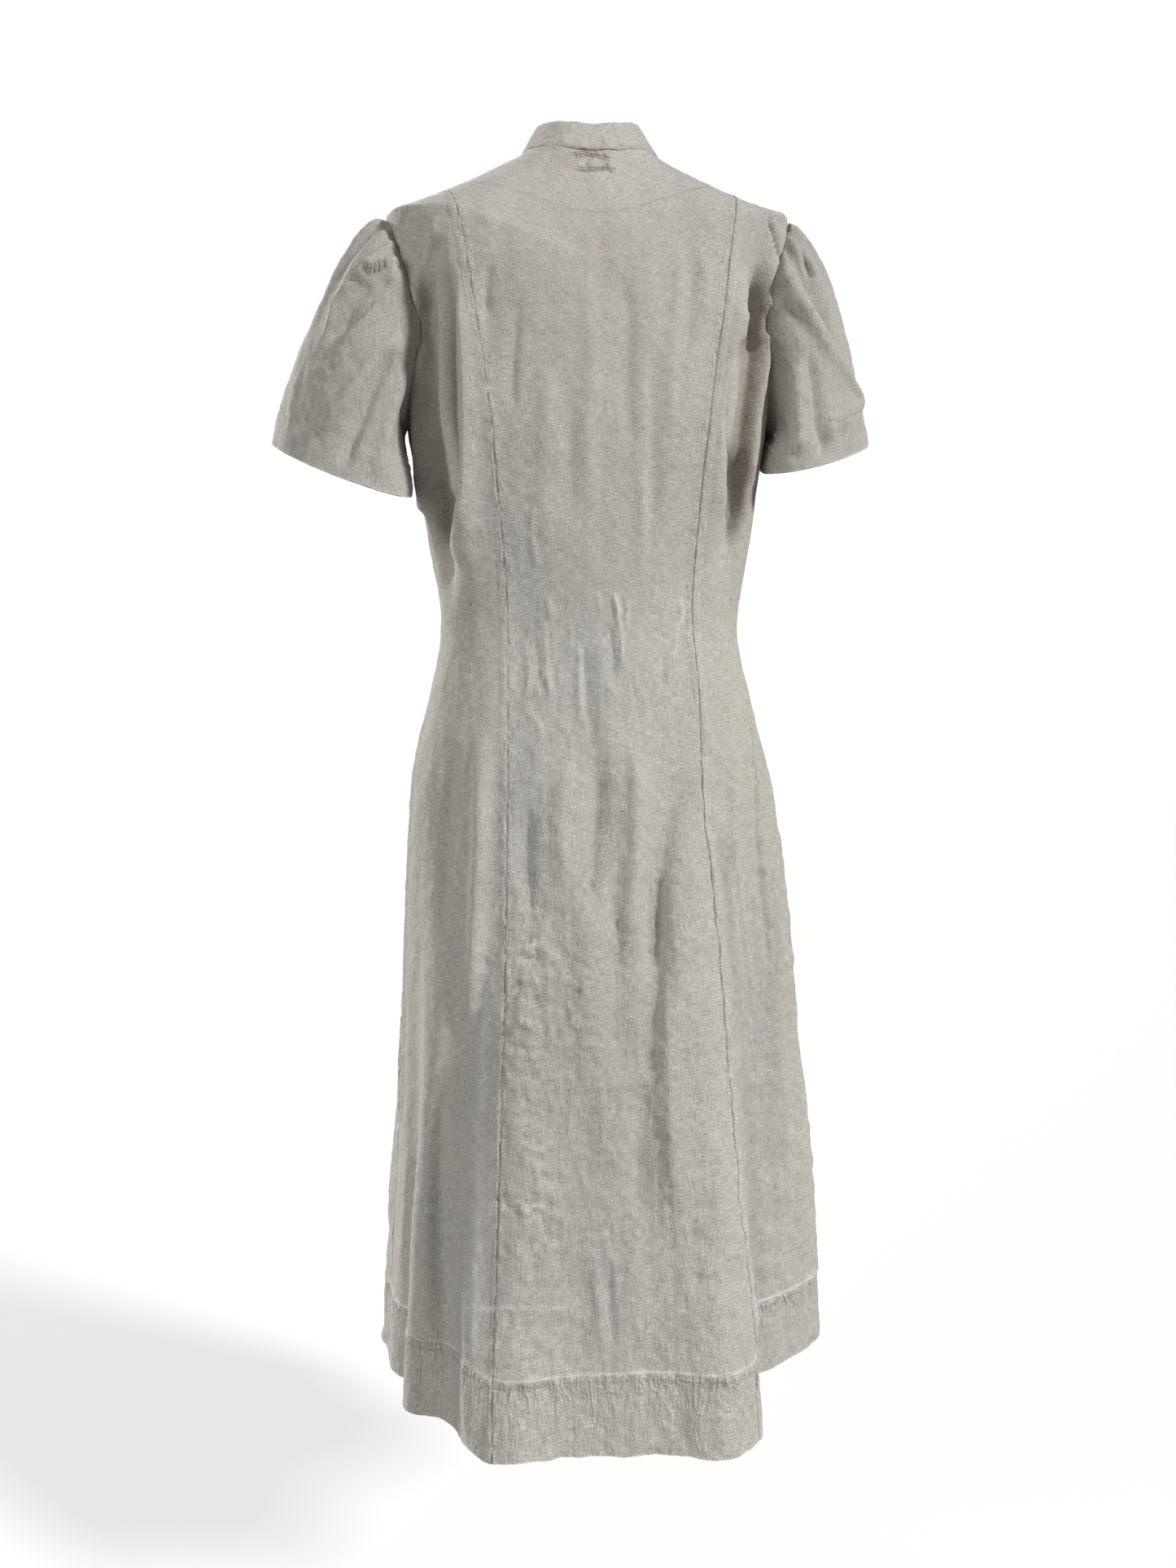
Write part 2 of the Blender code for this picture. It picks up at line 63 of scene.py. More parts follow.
# %% Camera
PHOTO_WIDTH = 1445
PHOTO_HEIGHT = 1926
FOCAL_PIXELS = 1450.0
SENSOR_WIDTH = 36.0
CAMERA_AZIMUTH = math.radians(7.0)
CAMERA_PITCH = math.radians(1.3)
CAMERA_ROLL = math.radians(-0.3)
CAMERA_DISTANCE = 1.2
CAMERA_HEIGHT = -0.595
CAMERA_SIDESTEP = -0.003


def add_object(name, data):
    """A new object in the scene."""
    made = bpy.data.objects.new(name, data)
    bpy.context.scene.collection.objects.link(made)
    return made


def photo_camera():
    """The camera at the photograph's place: its turned axes are right, up and back."""
    level = Vector((-math.sin(CAMERA_AZIMUTH), -math.cos(CAMERA_AZIMUTH), 0.0))
    right = Vector((-math.cos(CAMERA_AZIMUTH), math.sin(CAMERA_AZIMUTH), 0.0))
    up = Vector((0.0, 0.0, 1.0))
    place = -level * CAMERA_DISTANCE + right * CAMERA_SIDESTEP + up * CAMERA_HEIGHT
    forward = level * math.cos(CAMERA_PITCH) - up * math.sin(CAMERA_PITCH)
    upward = up * math.cos(CAMERA_PITCH) + level * math.sin(CAMERA_PITCH)
    rolled_right = right * math.cos(CAMERA_ROLL) + upward * math.sin(CAMERA_ROLL)
    rolled_up = upward * math.cos(CAMERA_ROLL) - right * math.sin(CAMERA_ROLL)
    turn = Matrix((rolled_right, rolled_up, -forward)).transposed().to_4x4()
    lens = bpy.data.cameras.new("photo_camera")
    lens.sensor_width = SENSOR_WIDTH
    lens.lens = FOCAL_PIXELS / PHOTO_HEIGHT * SENSOR_WIDTH
    stands = Matrix.Translation(place) @ turn
    camera = add_object("photo_camera", lens)
    camera.matrix_world = stands
    bpy.context.scene.camera = camera
    return stands


camera_place = photo_camera()
print("camera at", tuple(round(value, 3) for value in camera_place.translation))


# %% [markdown]
# ## Light and floor
#
# The photograph has a white surround and light that is stronger from the right, so each fold has
# one bright side and one grey side. The key sun stands behind the dress on the right, low enough
# to graze the cloth. A sun lights the cloth and the whole floor evenly, and a spread of a few
# degrees softens the edges of its shadows. A weaker and much wider one on the left fills them,
# one in front keeps the front readable, and a pale sky fills the rest. The floor is a big pale
# plane a little below the hem. It is a stage, and not part of the dress.
#
# Sky and floor each have two shaders: one that the camera sees, and a darker one that lights the
# cloth, so that the white surround doesn't wash out the folds.

# %% Suns, sky and floor
# name, where it comes from, spread in degrees, strength
SUNS = (
    ("key_sun", (-0.97, 0.74, 0.62), 8.0, 2.95),
    ("left_sun", (1.15, 0.72, 0.28), 34.0, 1.15),
    ("front_sun", (0.9, -1.0, 0.7), 8.0, 2.8),
)
SKY_SEEN = (1.0, 1.0, 1.0, 1.0)
SKY_FELT = (0.97, 0.985, 1.0, 1.0)
SKY_FELT_STRENGTH = 0.16
FLOOR_HEIGHT = -1.46
FLOOR_SIZE = 60.0
FLOOR_PAPER = (0.5, 0.5, 0.495, 1.0)
FLOOR_ROUGHNESS = 0.9
FLOOR_GLOW = (1.0, 1.0, 0.99, 1.0)
FLOOR_GLOW_STRENGTH = 0.45
FLOOR_FELT = (0.22, 0.22, 0.215, 1.0)


def plain_material(name, colour, roughness):
    material = bpy.data.materials.new(name)
    material.use_nodes = True
    shader = material.node_tree.nodes["Principled BSDF"]
    shader.inputs["Base Color"].default_value = colour
    shader.inputs["Roughness"].default_value = roughness
    return material


def add_suns():
    for name, comes_from, spread, strength in SUNS:
        sun = bpy.data.lights.new(name, "SUN")
        sun.angle = math.radians(spread)
        sun.energy = strength
        holder = add_object(name, sun)
        holder.location = comes_from
        holder.rotation_mode = "QUATERNION"
        holder.rotation_quaternion = Vector(comes_from).to_track_quat("Z", "Y")


def show_and_light(tree, seen, felt, surface):
    """Let the camera see one shader while the other one lights the cloth."""
    path = tree.nodes.new("ShaderNodeLightPath")
    pick = tree.nodes.new("ShaderNodeMixShader")
    tree.links.new(path.outputs["Is Camera Ray"], pick.inputs["Fac"])
    tree.links.new(felt, pick.inputs[1])
    tree.links.new(seen, pick.inputs[2])
    tree.links.new(pick.outputs["Shader"], surface)


def add_sky():
    sky = bpy.data.worlds.new("studio_sky")
    sky.use_nodes = True
    tree = sky.node_tree
    tree.nodes.clear()
    shaders = []
    for colour, strength in ((SKY_SEEN, 1.0), (SKY_FELT, SKY_FELT_STRENGTH)):
        shader = tree.nodes.new("ShaderNodeBackground")
        shader.inputs["Color"].default_value = colour
        shader.inputs["Strength"].default_value = strength
        shaders.append(shader.outputs["Background"])
    out = tree.nodes.new("ShaderNodeOutputWorld")
    show_and_light(tree, *shaders, out.inputs["Surface"])
    bpy.context.scene.world = sky
    bpy.context.scene.view_settings.view_transform = "Standard"


def floor_material():
    material = plain_material("floor_paper", FLOOR_PAPER, FLOOR_ROUGHNESS)
    tree = material.node_tree
    shader = tree.nodes["Principled BSDF"]
    shader.inputs["Emission Color"].default_value = FLOOR_GLOW
    shader.inputs["Emission Strength"].default_value = FLOOR_GLOW_STRENGTH
    grey = tree.nodes.new("ShaderNodeBsdfDiffuse")
    grey.inputs["Color"].default_value = FLOOR_FELT
    surface = tree.nodes["Material Output"].inputs["Surface"]
    show_and_light(tree, shader.outputs["BSDF"], grey.outputs["BSDF"], surface)
    return material


def add_floor():
    mesh = bpy.data.meshes.new("studio_floor")
    work = bmesh.new()
    bmesh.ops.create_grid(work, x_segments=1, y_segments=1, size=FLOOR_SIZE / 2.0)
    bmesh.ops.translate(work, verts=work.verts[:], vec=(0.0, 0.0, FLOOR_HEIGHT))
    work.to_mesh(mesh)
    work.free()
    mesh.materials.append(floor_material())
    floor = add_object("studio_floor", mesh)


add_suns()
add_sky()
add_floor()
print("suns:", len(SUNS), "floor at", FLOOR_HEIGHT)

# %% [markdown]
# ## The form of the body
#
# A worn dress is a tube, so it can be described by rings. Every ring has a half width, a depth
# behind and in front, and a drop, because over the shoulders a ring hangs lower in the middle
# than at its sides. "down" is the length along the side of the dress, over the shoulder and then
# straight down. Reading the table along a smooth curve gives a ring at any height.
#
# These tables are the ones that the CAD model was made from, so the cloth lies exactly where its
# solid lies.

# %% Rings and seams
WALL = 0.0016
NECK = 0.0
PRINCESS_TOP = 0.075
SHOULDER_TIP = 0.15
UNDERARM = 0.345
WAIST = 0.545
HEM_STITCH = 1.215
HEM = 1.275

RING_COLUMNS = ("down", "side_z", "half_width", "back", "front", "back_drop", "front_drop", "squareness")
RINGS = (
    (0.0, 0.0, 0.07, 0.062, 0.068, 0.016, 0.066, 2.0),
    (0.075, -0.037, 0.139, 0.088, 0.088, 0.05, 0.078, 2.2),
    (0.138, -0.06, 0.191, 0.097, 0.105, 0.068, 0.093, 2.4),
    (0.15, -0.064, 0.2, 0.099, 0.108, 0.071, 0.096, 2.4),
    (0.24, -0.155, 0.188, 0.104, 0.124, 0.035, 0.045, 2.4),
    (0.345, -0.26, 0.179, 0.102, 0.134, 0.0, 0.0, 2.4),
    (0.445, -0.36, 0.163, 0.091, 0.12, 0.0, 0.0, 2.3),
    (0.545, -0.46, 0.149, 0.084, 0.106, 0.0, 0.0, 2.2),
    (0.625, -0.54, 0.163, 0.096, 0.114, 0.0, 0.0, 2.2),
    (0.7, -0.615, 0.177, 0.112, 0.124, 0.0, 0.0, 2.2),
    (0.85, -0.765, 0.187, 0.142, 0.144, 0.0, 0.0, 2.2),
    (1.0, -0.915, 0.191, 0.166, 0.162, 0.0, 0.0, 2.1),
    (1.15, -1.065, 0.198, 0.19, 0.18, 0.0, 0.0, 2.1),
    (1.275, -1.19, 0.205, 0.206, 0.194, 0.0, 0.0, 2.1),
)
SEAM_COLUMNS = ("down", "back_left", "back_right", "front")
SEAMS = (
    (0.075, 0.143, 0.139, 0.14),
    (0.15, 0.132, 0.13, 0.124),
    (0.24, 0.118, 0.118, 0.106),
    (0.345, 0.105, 0.105, 0.096),
    (0.445, 0.095, 0.095, 0.084),
    (0.545, 0.088, 0.089, 0.074),
    (0.63, 0.089, 0.092, 0.08),
    (0.86, 0.093, 0.096, 0.092),
    (1.03, 0.096, 0.1, 0.1),
    (1.275, 0.101, 0.105, 0.11),
)
SHOULDER_TILT = 0.03

# The deep folds. Each row has the z and the angle of its top and bottom as top z, bottom z, top
# angle, bottom angle, then its half width, how far it stands out, and the length of its fading.
# Angles are degrees from the wearer's left side, with the middle of the back at 90.
FOLDS = (
    (-0.08, -0.46, 21, 12, 6, -0.02, 0.1),
    (-0.12, -0.46, 31, 24, 5, 0.006, 0.1),
    (-0.08, -0.43, 159, 155, 6, -0.02, 0.1),
    (-0.12, -0.43, 149, 146, 5, 0.006, 0.1),
    (-0.08, -0.4, 334, 330, 8, -0.009, 0.12),
    (-0.08, -0.4, 206, 210, 8, -0.009, 0.12),
    (-0.56, -1.9, 60, 62, 11, 0.026, 0.7),
    (-0.56, -1.9, 122, 114, 12, 0.033, 0.64),
    (-0.56, -1.9, 148, 144, 13, -0.04, 0.64),
    (-0.5, -1.9, 166, 175, 9, 0.028, 0.6),
    (-0.7, -1.9, 40, 44, 8, -0.008, 0.5),
    (-0.6, -1.9, 30, 31, 7, 0.01, 0.5),
    (-0.7, -1.9, 18, 20, 6, -0.012, 0.4),
    (-0.6, -0.95, 92, 92, 6, -0.006, 0.12),
    (-0.6, -0.95, 82, 81, 6, 0.004, 0.12),
    (-0.62, -0.98, 108, 101, 6, -0.006, 0.12),
    (-0.6, -1.9, 300, 298, 11, 0.024, 0.64),
    (-0.6, -1.9, 240, 243, 11, 0.024, 0.64),
    (-0.6, -1.9, 326, 325, 11, -0.026, 0.64),
    (-0.6, -1.9, 214, 213, 11, -0.026, 0.64),
    (-0.6, -1.9, 350, 350, 9, 0.012, 0.6),
    (-0.6, -1.9, 192, 191, 9, 0.024, 0.6),
)


def ease(value):
    """Smooth step from 0 to 1."""
    value = np.clip(value, 0.0, 1.0)
    return value * value * (3.0 - 2.0 * value)


def smooth_read(where, xs, ys):
    """Read a table along a smooth curve that never overshoots its rows."""
    xs = np.asarray(xs, float)
    ys = np.asarray(ys, float)
    where = np.clip(where, xs[0], xs[-1])
    steps = np.diff(ys) / np.diff(xs)
    slopes = np.zeros_like(ys)
    same_way = steps[:-1] * steps[1:] > 0.0
    total = np.where(same_way, steps[:-1] + steps[1:], 1.0)
    slopes[1:-1] = np.where(same_way, 2.0 * steps[:-1] * steps[1:] / total, 0.0)
    slopes[0] = steps[0]
    slopes[-1] = steps[-1]
    row = np.clip(np.searchsorted(xs, where, side="right") - 1, 0, len(xs) - 2)
    span = xs[row + 1] - xs[row]
    part = (where - xs[row]) / span
    rise = part * part * (3.0 - 2.0 * part)
    start_pull = part * (1.0 - part) ** 2
    end_pull = part * part * (part - 1.0)
    level = ys[row] + (ys[row + 1] - ys[row]) * rise
    return level + span * (slopes[row] * start_pull + slopes[row + 1] * end_pull)


def table_value(table, column, down):
    return smooth_read(down, [row[0] for row in table], [row[column] for row in table])


def ring_value(name, down):
    return table_value(RINGS, RING_COLUMNS.index(name), down)


def seam_x(name, down):
    return table_value(SEAMS, SEAM_COLUMNS.index(name), down)


print("rings:", len(RINGS), "seam rows:", len(SEAMS), "folds:", len(FOLDS))


# %% [markdown]
# Two functions carry the whole garment. `body` turns an angle and a "down" into a point, with
# the deep folds added square to the ring, and `body_normal` says which way is out there.

# %% Points and normals of the body
NUDGE = 0.0001


def bell(away, width):
    """A smooth ridge of height 1, down to 0.37 of it at its width."""
    return np.exp(-((away / width) ** 2))


def bump(away, half_width):
    """A deep fold's ridge of height 1, down to a third of it at its half width."""
    return np.exp(-1.1 * (away / half_width) ** 2)


def fold_out(angle, z):
    degrees = np.degrees(angle)
    out = np.zeros(np.broadcast(angle, z).shape)
    for top_z, bottom_z, top_angle, bottom_angle, half_width, height, fade in FOLDS:
        along = np.clip((top_z - z) / (top_z - max(bottom_z, RINGS[-1][1])), 0.0, 1.0)
        middle = top_angle + (bottom_angle - top_angle) * along
        away = (degrees - middle + 180.0) % 360.0 - 180.0
        strength = ease((top_z - z) / fade) * ease((z - bottom_z) / fade)
        out = out + height * bump(away, half_width) * strength
    return out


def body(angle, down):
    """A point of the dress's middle surface."""
    angle = np.asarray(angle, float)
    down = np.asarray(down, float)
    across = np.cos(angle)
    deep = np.sin(angle)
    at_back = deep > 0.0
    half_width = ring_value("half_width", down)
    half_depth = np.where(at_back, ring_value("back", down), ring_value("front", down))
    drop = np.where(at_back, ring_value("back_drop", down), ring_value("front_drop", down))
    power = ring_value("squareness", down)
    radius = (np.abs(across / half_width) ** power + np.abs(deep / half_depth) ** power) ** (-1.0 / power)
    z = ring_value("side_z", down) - drop * deep * deep
    x = radius * across
    y = radius * deep
    normal_x = np.sign(x) * np.abs(x / half_width) ** (power - 1.0) / half_width
    normal_y = np.sign(y) * np.abs(y / half_depth) ** (power - 1.0) / half_depth
    out = fold_out(angle, z) / np.hypot(normal_x, normal_y)
    x = x + normal_x * out
    y = y + normal_y * out
    tilt = SHOULDER_TILT * x * ease((WAIST - down) / (WAIST - SHOULDER_TIP))
    return np.stack([x, y, z - tilt], axis=-1)


def unit(vectors):
    return vectors / np.linalg.norm(vectors, axis=-1, keepdims=True)


def body_normal(angle, down):
    low = np.clip(down - NUDGE, NECK, HEM)
    high = np.clip(down + NUDGE, NECK, HEM)
    around = body(angle + NUDGE, down) - body(angle - NUDGE, down)
    downward = body(angle, high) - body(angle, low)
    return unit(np.cross(downward, around))


def seam_angle(half, side, down):
    """Angle between a princess seam and the side of the ring."""
    x = seam_x("back_" + side if half == "back" else "front", down)
    power = ring_value("squareness", down)
    share = np.clip(x / ring_value("half_width", down), 0.0, 1.0)
    y = ring_value(half, down) * (1.0 - share**power) ** (1.0 / power)
    return np.where(down <= PRINCESS_TOP + 1e-9, 0.0, np.arctan2(y, x))


nape = body(np.array([math.pi / 2.0]), np.array([0.0]))[0]
print("nape at", nape.round(4))

# %% [markdown]
# ## Creases listed one by one
#
# Old linen is full of creases, and they are what makes it look real. The ones that the
# photograph shows are written down as short paths of picture places. A line of sight through
# each place meets the CAD cloth, so a crease always lies on the dress, from whatever side it is
# seen. Hidden creases are written as angle and "down" instead.
#
# A crease is a small ridge, or a trough where its height is negative. Its row holds its height,
# its width on each side and the length of its fading ends, in millimetres, and then its path. It
# has two widths because a real fold is steep on one side and easy on the other. "left" and
# "right" are the sides of its path as that is walked on the outside of the cloth, so for a path
# that runs down the picture they are the viewer's left and right.

# %% Reading places off the photograph
MILLIMETRE = 0.001
PATH_STEP = 7.0
BODY_NODES = (
    "back_center", "back_side_left", "back_side_right",
    "front_left", "front_right", "front_side_left", "front_side_right",
)


def tree_of(names):
    """One search tree over some CAD nodes."""
    corners = []
    faces = []
    for name in names:
        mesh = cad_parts[name].data
        start = len(corners)
        corners.extend(vertex.co.copy() for vertex in mesh.vertices)
        faces.extend([start + corner for corner in face.vertices] for face in mesh.polygons)
    return BVHTree.FromPolygons(corners, faces)


TREES = {name: tree_of([name]) for name in ("sleeve_left", "sleeve_right", "collar_band")}
TREES["body"] = tree_of(BODY_NODES)


def sight(pixel):
    """Where a line of sight through a place in the photograph starts, and where it goes."""
    right = (pixel[0] - PHOTO_WIDTH / 2.0) / FOCAL_PIXELS
    up = (PHOTO_HEIGHT / 2.0 - pixel[1]) / FOCAL_PIXELS
    way = camera_place.to_3x3() @ Vector((right, up, -1.0))
    return camera_place.translation, way.normalized()


def seen_on(on, pixel):
    """The point and outward normal of the CAD cloth that a picture place shows."""
    start, way = sight(pixel)
    place, normal, _, _ = TREES[on].ray_cast(start, way)
    if place is None:
        place, normal, _, _ = TREES[on].find_nearest(start + way * CAMERA_DISTANCE)
    if normal.dot(way) > 0.0:
        normal = -normal
    return np.array(place), np.array(normal)


def dense_path(points, steps):
    """A smooth line through a few points, by equal steps of its number."""
    points = np.array(points, float)
    at = np.arange(len(points), dtype=float)
    where = np.linspace(0.0, at[-1], steps)
    if len(points) == 2:
        return np.stack([np.interp(where, at, column) for column in points.T], axis=-1)
    padded = np.vstack([2.0 * points[0] - points[1], points, 2.0 * points[-1] - points[-2]])
    row = np.minimum(where.astype(int), len(points) - 2)
    part = (where - row)[:, None]
    before, start, end, after = (padded[row + shift] for shift in range(4))
    return 0.5 * (
        2.0 * start
        + (end - before) * part
        + (2.0 * before - 5.0 * start + 4.0 * end - after) * part**2
        + (3.0 * start - before - 3.0 * end + after) * part**3
    )


def gaps(line, axis=0):
    """Distances from each point to the next."""
    return np.linalg.norm(np.diff(line, axis=axis), axis=-1)


def walked(line):
    """Length along a line of points, at each of them."""
    return np.concatenate([[0.0], gaps(line).cumsum()])


def seen_path(on, pixels, spacing=PATH_STEP):
    """A path over the cloth through picture places: points and outward normals."""
    pixels = np.array(pixels, float)
    line = dense_path(pixels, max(4, int(gaps(pixels).sum() / spacing)))
    found = [seen_on(on, pixel) for pixel in line]
    return np.array([place for place, _ in found]), np.array([normal for _, normal in found])


def form_path(places):
    """A path over the body through (degrees, down) places."""
    line = dense_path(places, 4 * len(places))
    angle = np.radians(line[:, 0])
    return body(angle, line[:, 1]), body_normal(angle, line[:, 1])


# %% Creases of the back and the skirt
BACK_CREASES = (
    # the deep side folds of the bodice
    (3.5, 5, 17, 36, ((560, 350), (567, 450), (569, 533), (567, 600), (563, 655), (553, 704))),
    (-9, 17, 3.6, 40, ((552, 318), (556, 400), (559, 480), (560, 560), (558, 620), (551, 696))),
    (-3, 8, 5, 12, ((544, 288), (534, 325), (529, 380), (531, 440))),
    (4.2, 6, 8, 30, ((508, 320), (515, 420), (513, 500), (517, 580), (523, 650))),
    (3.5, 14, 5, 36, ((919, 322), (909, 388), (893, 462), (886, 540), (885, 620), (884, 684))),
    (-9.5, 3.6, 15, 40, ((934, 318), (920, 388), (902, 465), (895, 545), (894, 630), (895, 690))),
    (3, 7, 5, 24, ((949, 350), (942, 440), (931, 500), (925, 548), (920, 600))),
    (-2, 3, 6, 14, ((930, 345), (924, 420), (912, 500), (906, 570), (904, 640))),
    (-3.2, 2.6, 2.6, 8, ((944, 266), (951, 292), (957, 322))),
    (-2.4, 2.6, 3.2, 8, ((505, 252), (498, 268), (488, 286))),
    (1.4, 5, 3, 14, ((538, 262), (530, 300), (512, 350))),
    # soft upright folds between the shoulders and the waist
    (-1.7, 7, 4, 30, ((640, 352), (634, 410), (630, 470), (632, 520))),
    (-2, 5, 4, 22, ((606, 310), (598, 352), (600, 400))),
    (-2.1, 9, 8, 30, ((762, 330), (772, 398), (770, 470), (776, 560))),
    (1.6, 9, 9, 40, ((722, 330), (726, 430), (722, 540), (728, 650))),
    (1.7, 6, 5, 40, ((838, 284), (834, 350), (826, 440), (824, 540))),
    (-1.6, 5, 5, 30, ((852, 300), (850, 372), (842, 450))),
    (1.3, 5, 4, 30, ((858, 292), (866, 340), (868, 400))),
    (1.4, 8, 8, 50, ((676, 420), (672, 520), (668, 620), (676, 700))),
    (-1.4, 7, 7, 40, ((700, 470), (698, 560), (704, 660))),
    (-1.6, 6, 7, 40, ((806, 420), (800, 520), (804, 610), (798, 680))),
    (1.6, 6, 6, 40, ((786, 560), (790, 640), (784, 716))),
    (1.2, 0.9, 0.9, 6, ((791, 242), (808, 253), (825, 263))),
    (1, 0.9, 0.9, 6, ((797, 241), (814, 250), (824, 258))),
    # puckers round the darning at the nape
    (1, 1.6, 2, 3, ((709, 194), (712, 199), (711, 205))),
    (-1, 1.8, 1.6, 3, ((718, 194), (720, 199), (719, 205))),
    (1.1, 1.6, 1.6, 3, ((731, 193), (730, 199), (733, 206))),
    (-1, 1.8, 1.8, 3, ((741, 194), (741, 200), (743, 206))),
    (0.9, 1.6, 1.6, 3, ((749, 196), (751, 202), (750, 208))),
    (0.9, 2, 2, 4, ((703, 214), (714, 217), (730, 216), (748, 218))),
    # drag lines at the waist: flat ribbons, thin ridges and broad hollows
    (1.4, 2.2, 4.6, 10, ((671, 728), (674, 750), (677, 768))),
    (1.6, 2.2, 2.8, 10, ((669, 764), (669, 790), (672, 815), (676, 862))),
    (1.5, 2.5, 2.2, 10, ((681, 766), (681, 790), (682, 820))),
    (1.5, 2.2, 2.2, 10, ((700, 760), (702, 786), (699, 808))),
    (1.6, 3.9, 2.2, 12, ((712, 785), (714, 810), (713, 850), (716, 890))),
    (-2.2, 2.3, 9.2, 16, ((717, 800), (719, 840), (723, 880), (729, 930))),
    (2.6, 2.2, 3.2, 8, ((752, 726), (757, 745), (759, 765), (763, 797), (762, 822))),
    (2, 2.2, 2.2, 8, ((771, 735), (770, 765), (766, 785), (763, 800))),
    (-1.9, 8, 2.4, 12, ((750, 765), (755, 800), (756, 842))),
    (1.2, 2.2, 2.2, 6, ((735, 728), (736, 742), (737, 754))),
    (1.6, 2.2, 2.2, 5, ((806, 716), (804, 735), (801, 752))),
    (-1.9, 2.3, 2.2, 6, ((803, 768), (808, 778), (822, 782))),
    (1.4, 2.2, 2.2, 4, ((820, 784), (819, 793), (817, 804))),
    (-2.2, 5.1, 2.4, 10, ((817, 798), (817, 822), (815, 850))),
    (2.3, 3.2, 2.2, 8, ((836, 730), (838, 762), (832, 772), (831, 794), (826, 822))),
    (1.9, 3.9, 6.9, 20, ((842, 765), (848, 800), (858, 858), (870, 930))),
    (1.4, 2.2, 2.5, 8, ((786, 765), (785, 790), (786, 812))),
    (1.4, 2.2, 2.2, 10, ((640, 776), (646, 800), (650, 836), (644, 860))),
    (-3.5, 2.3, 2.8, 4, ((641, 774), (645, 780))),
    (-1.6, 2.8, 2.8, 10, ((655, 780), (660, 810), (664, 850))),
    (1.4, 2, 3.6, 6, ((744, 846), (758, 852))),
    (1.1, 3, 3.4, 10, ((650, 872), (662, 892), (668, 914))),
    (-1.8, 1.6, 2.2, 6, ((882, 687), (896, 687), (910, 689))),
    (1.1, 3, 3, 10, ((656, 620), (654, 660), (662, 700))),
    # long soft folds of the skirt
    (-7, 9, 10, 50, ((733, 905), (736, 1000), (731, 1090), (727, 1150))),
    (5, 9, 12, 50, ((780, 900), (783, 1000), (779, 1110), (770, 1200))),
    (-5.6, 15, 12, 50, ((842, 930), (824, 1010), (807, 1100), (799, 1235))),
    (4.2, 10, 10, 60, ((700, 920), (690, 1010), (694, 1120))),
    (-4.2, 10, 8, 60, ((650, 960), (646, 1060), (652, 1140))),
    (4.2, 10, 10, 60, ((826, 1180), (822, 1300), (828, 1420), (836, 1520))),
    (-4.2, 10, 10, 60, ((780, 1300), (786, 1400), (776, 1520))),
    (-2.5, 5, 5, 14, ((744, 1560), (750, 1610), (752, 1664))),
    (1.8, 6, 5, 20, ((730, 1545), (736, 1600), (738, 1660))),
    (2.8, 8, 1.6, 40, ((873, 1000), (882, 1110), (892, 1260), (906, 1420), (920, 1570), (923, 1690))),
    (-3.1, 3, 8, 50, ((884, 1010), (893, 1130), (902, 1270), (914, 1400))),
    (2.5, 5, 6, 50, ((899, 900), (901, 1000), (908, 1100), (922, 1240))),
    (-3.1, 5, 5, 50, ((921, 850), (927, 950), (932, 1060), (944, 1200))),
    (2.8, 9, 7, 60, ((576, 1440), (575, 1560), (577, 1680), (580, 1786))),
    (-4.5, 8, 9, 60, ((545, 1300), (538, 1420), (540, 1560), (544, 1700))),
    (2.2, 7, 8, 60, ((508, 1380), (500, 1500), (495, 1600))),
    (3.9, 9, 9, 70, ((590, 880), (590, 1010), (584, 1150), (576, 1290))),
    (-3.6, 9, 9, 70, ((556, 900), (548, 1030), (540, 1180))),
    (-1.8, 2, 3.5, 12, ((640, 1612), (644, 1640), (628, 1662))),
)
# the crumpled patch low on the back, and its neighbours
CRUMPLE_CREASES = (
    (1.7, 1.8, 2.6, 5, ((640, 1166), (654, 1163), (670, 1157))),
    (1.2, 1.2, 1.8, 5, ((687, 1150), (698, 1151), (712, 1152))),
    (1.4, 1.6, 1.6, 4, ((631, 1145), (638, 1152), (647, 1151))),
    (-1.3, 2, 3, 6, ((648, 1128), (660, 1136), (672, 1139))),
    (-1.4, 2.6, 2.6, 6, ((640, 1176), (656, 1180), (668, 1176))),
    (1.1, 1.2, 1.4, 6, ((750, 1180), (752, 1202), (751, 1222))),
    (1, 1.2, 1.4, 5, ((745, 1078), (742, 1090), (740, 1100))),
    (1, 1.6, 1.6, 6, ((698, 1180), (712, 1190), (730, 1200))),
    (1.1, 1.6, 1.6, 6, ((712, 1242), (704, 1252), (697, 1258))),
    (1.2, 1.6, 2, 6, ((643, 1246), (650, 1260), (662, 1272))),
    (-1.2, 2, 2, 6, ((648, 1228), (664, 1236), (682, 1232))),
    (1.2, 1.6, 2, 6, ((636, 1290), (652, 1300), (668, 1296))),
    (-1.5, 3, 2.4, 6, ((632, 1316), (646, 1322), (660, 1318))),
    (1.1, 1.6, 2, 6, ((672, 1330), (690, 1320), (708, 1326))),
    (-1.2, 2, 2.4, 6, ((630, 1380), (650, 1372), (668, 1380))),
    (1.3, 2, 2, 6, ((640, 1404), (660, 1412), (682, 1404))),
    (1.1, 1.6, 1.6, 6, ((690, 1430), (708, 1418), (722, 1424))),
    (-1.2, 2.2, 2.2, 6, ((628, 1460), (646, 1452), (662, 1458))),
    (1.2, 1.8, 1.8, 6, ((640, 1490), (660, 1482), (684, 1492))),
    (-1.6, 4, 4, 6, ((619, 1610), (626, 1622), (632, 1628))),
    (-1.8, 4, 4, 6, ((646, 1650), (655, 1656), (664, 1650))),
    (1.2, 1.6, 1.6, 6, ((834, 1598), (842, 1584), (856, 1572))),
    (1.3, 1.6, 1.6, 6, ((856, 1566), (872, 1562), (890, 1553))),
    (-1.3, 2.4, 2, 6, ((850, 1578), (868, 1574), (884, 1566))),
    (1, 1.4, 1.4, 6, ((880, 1600), (886, 1580), (896, 1568))),
)
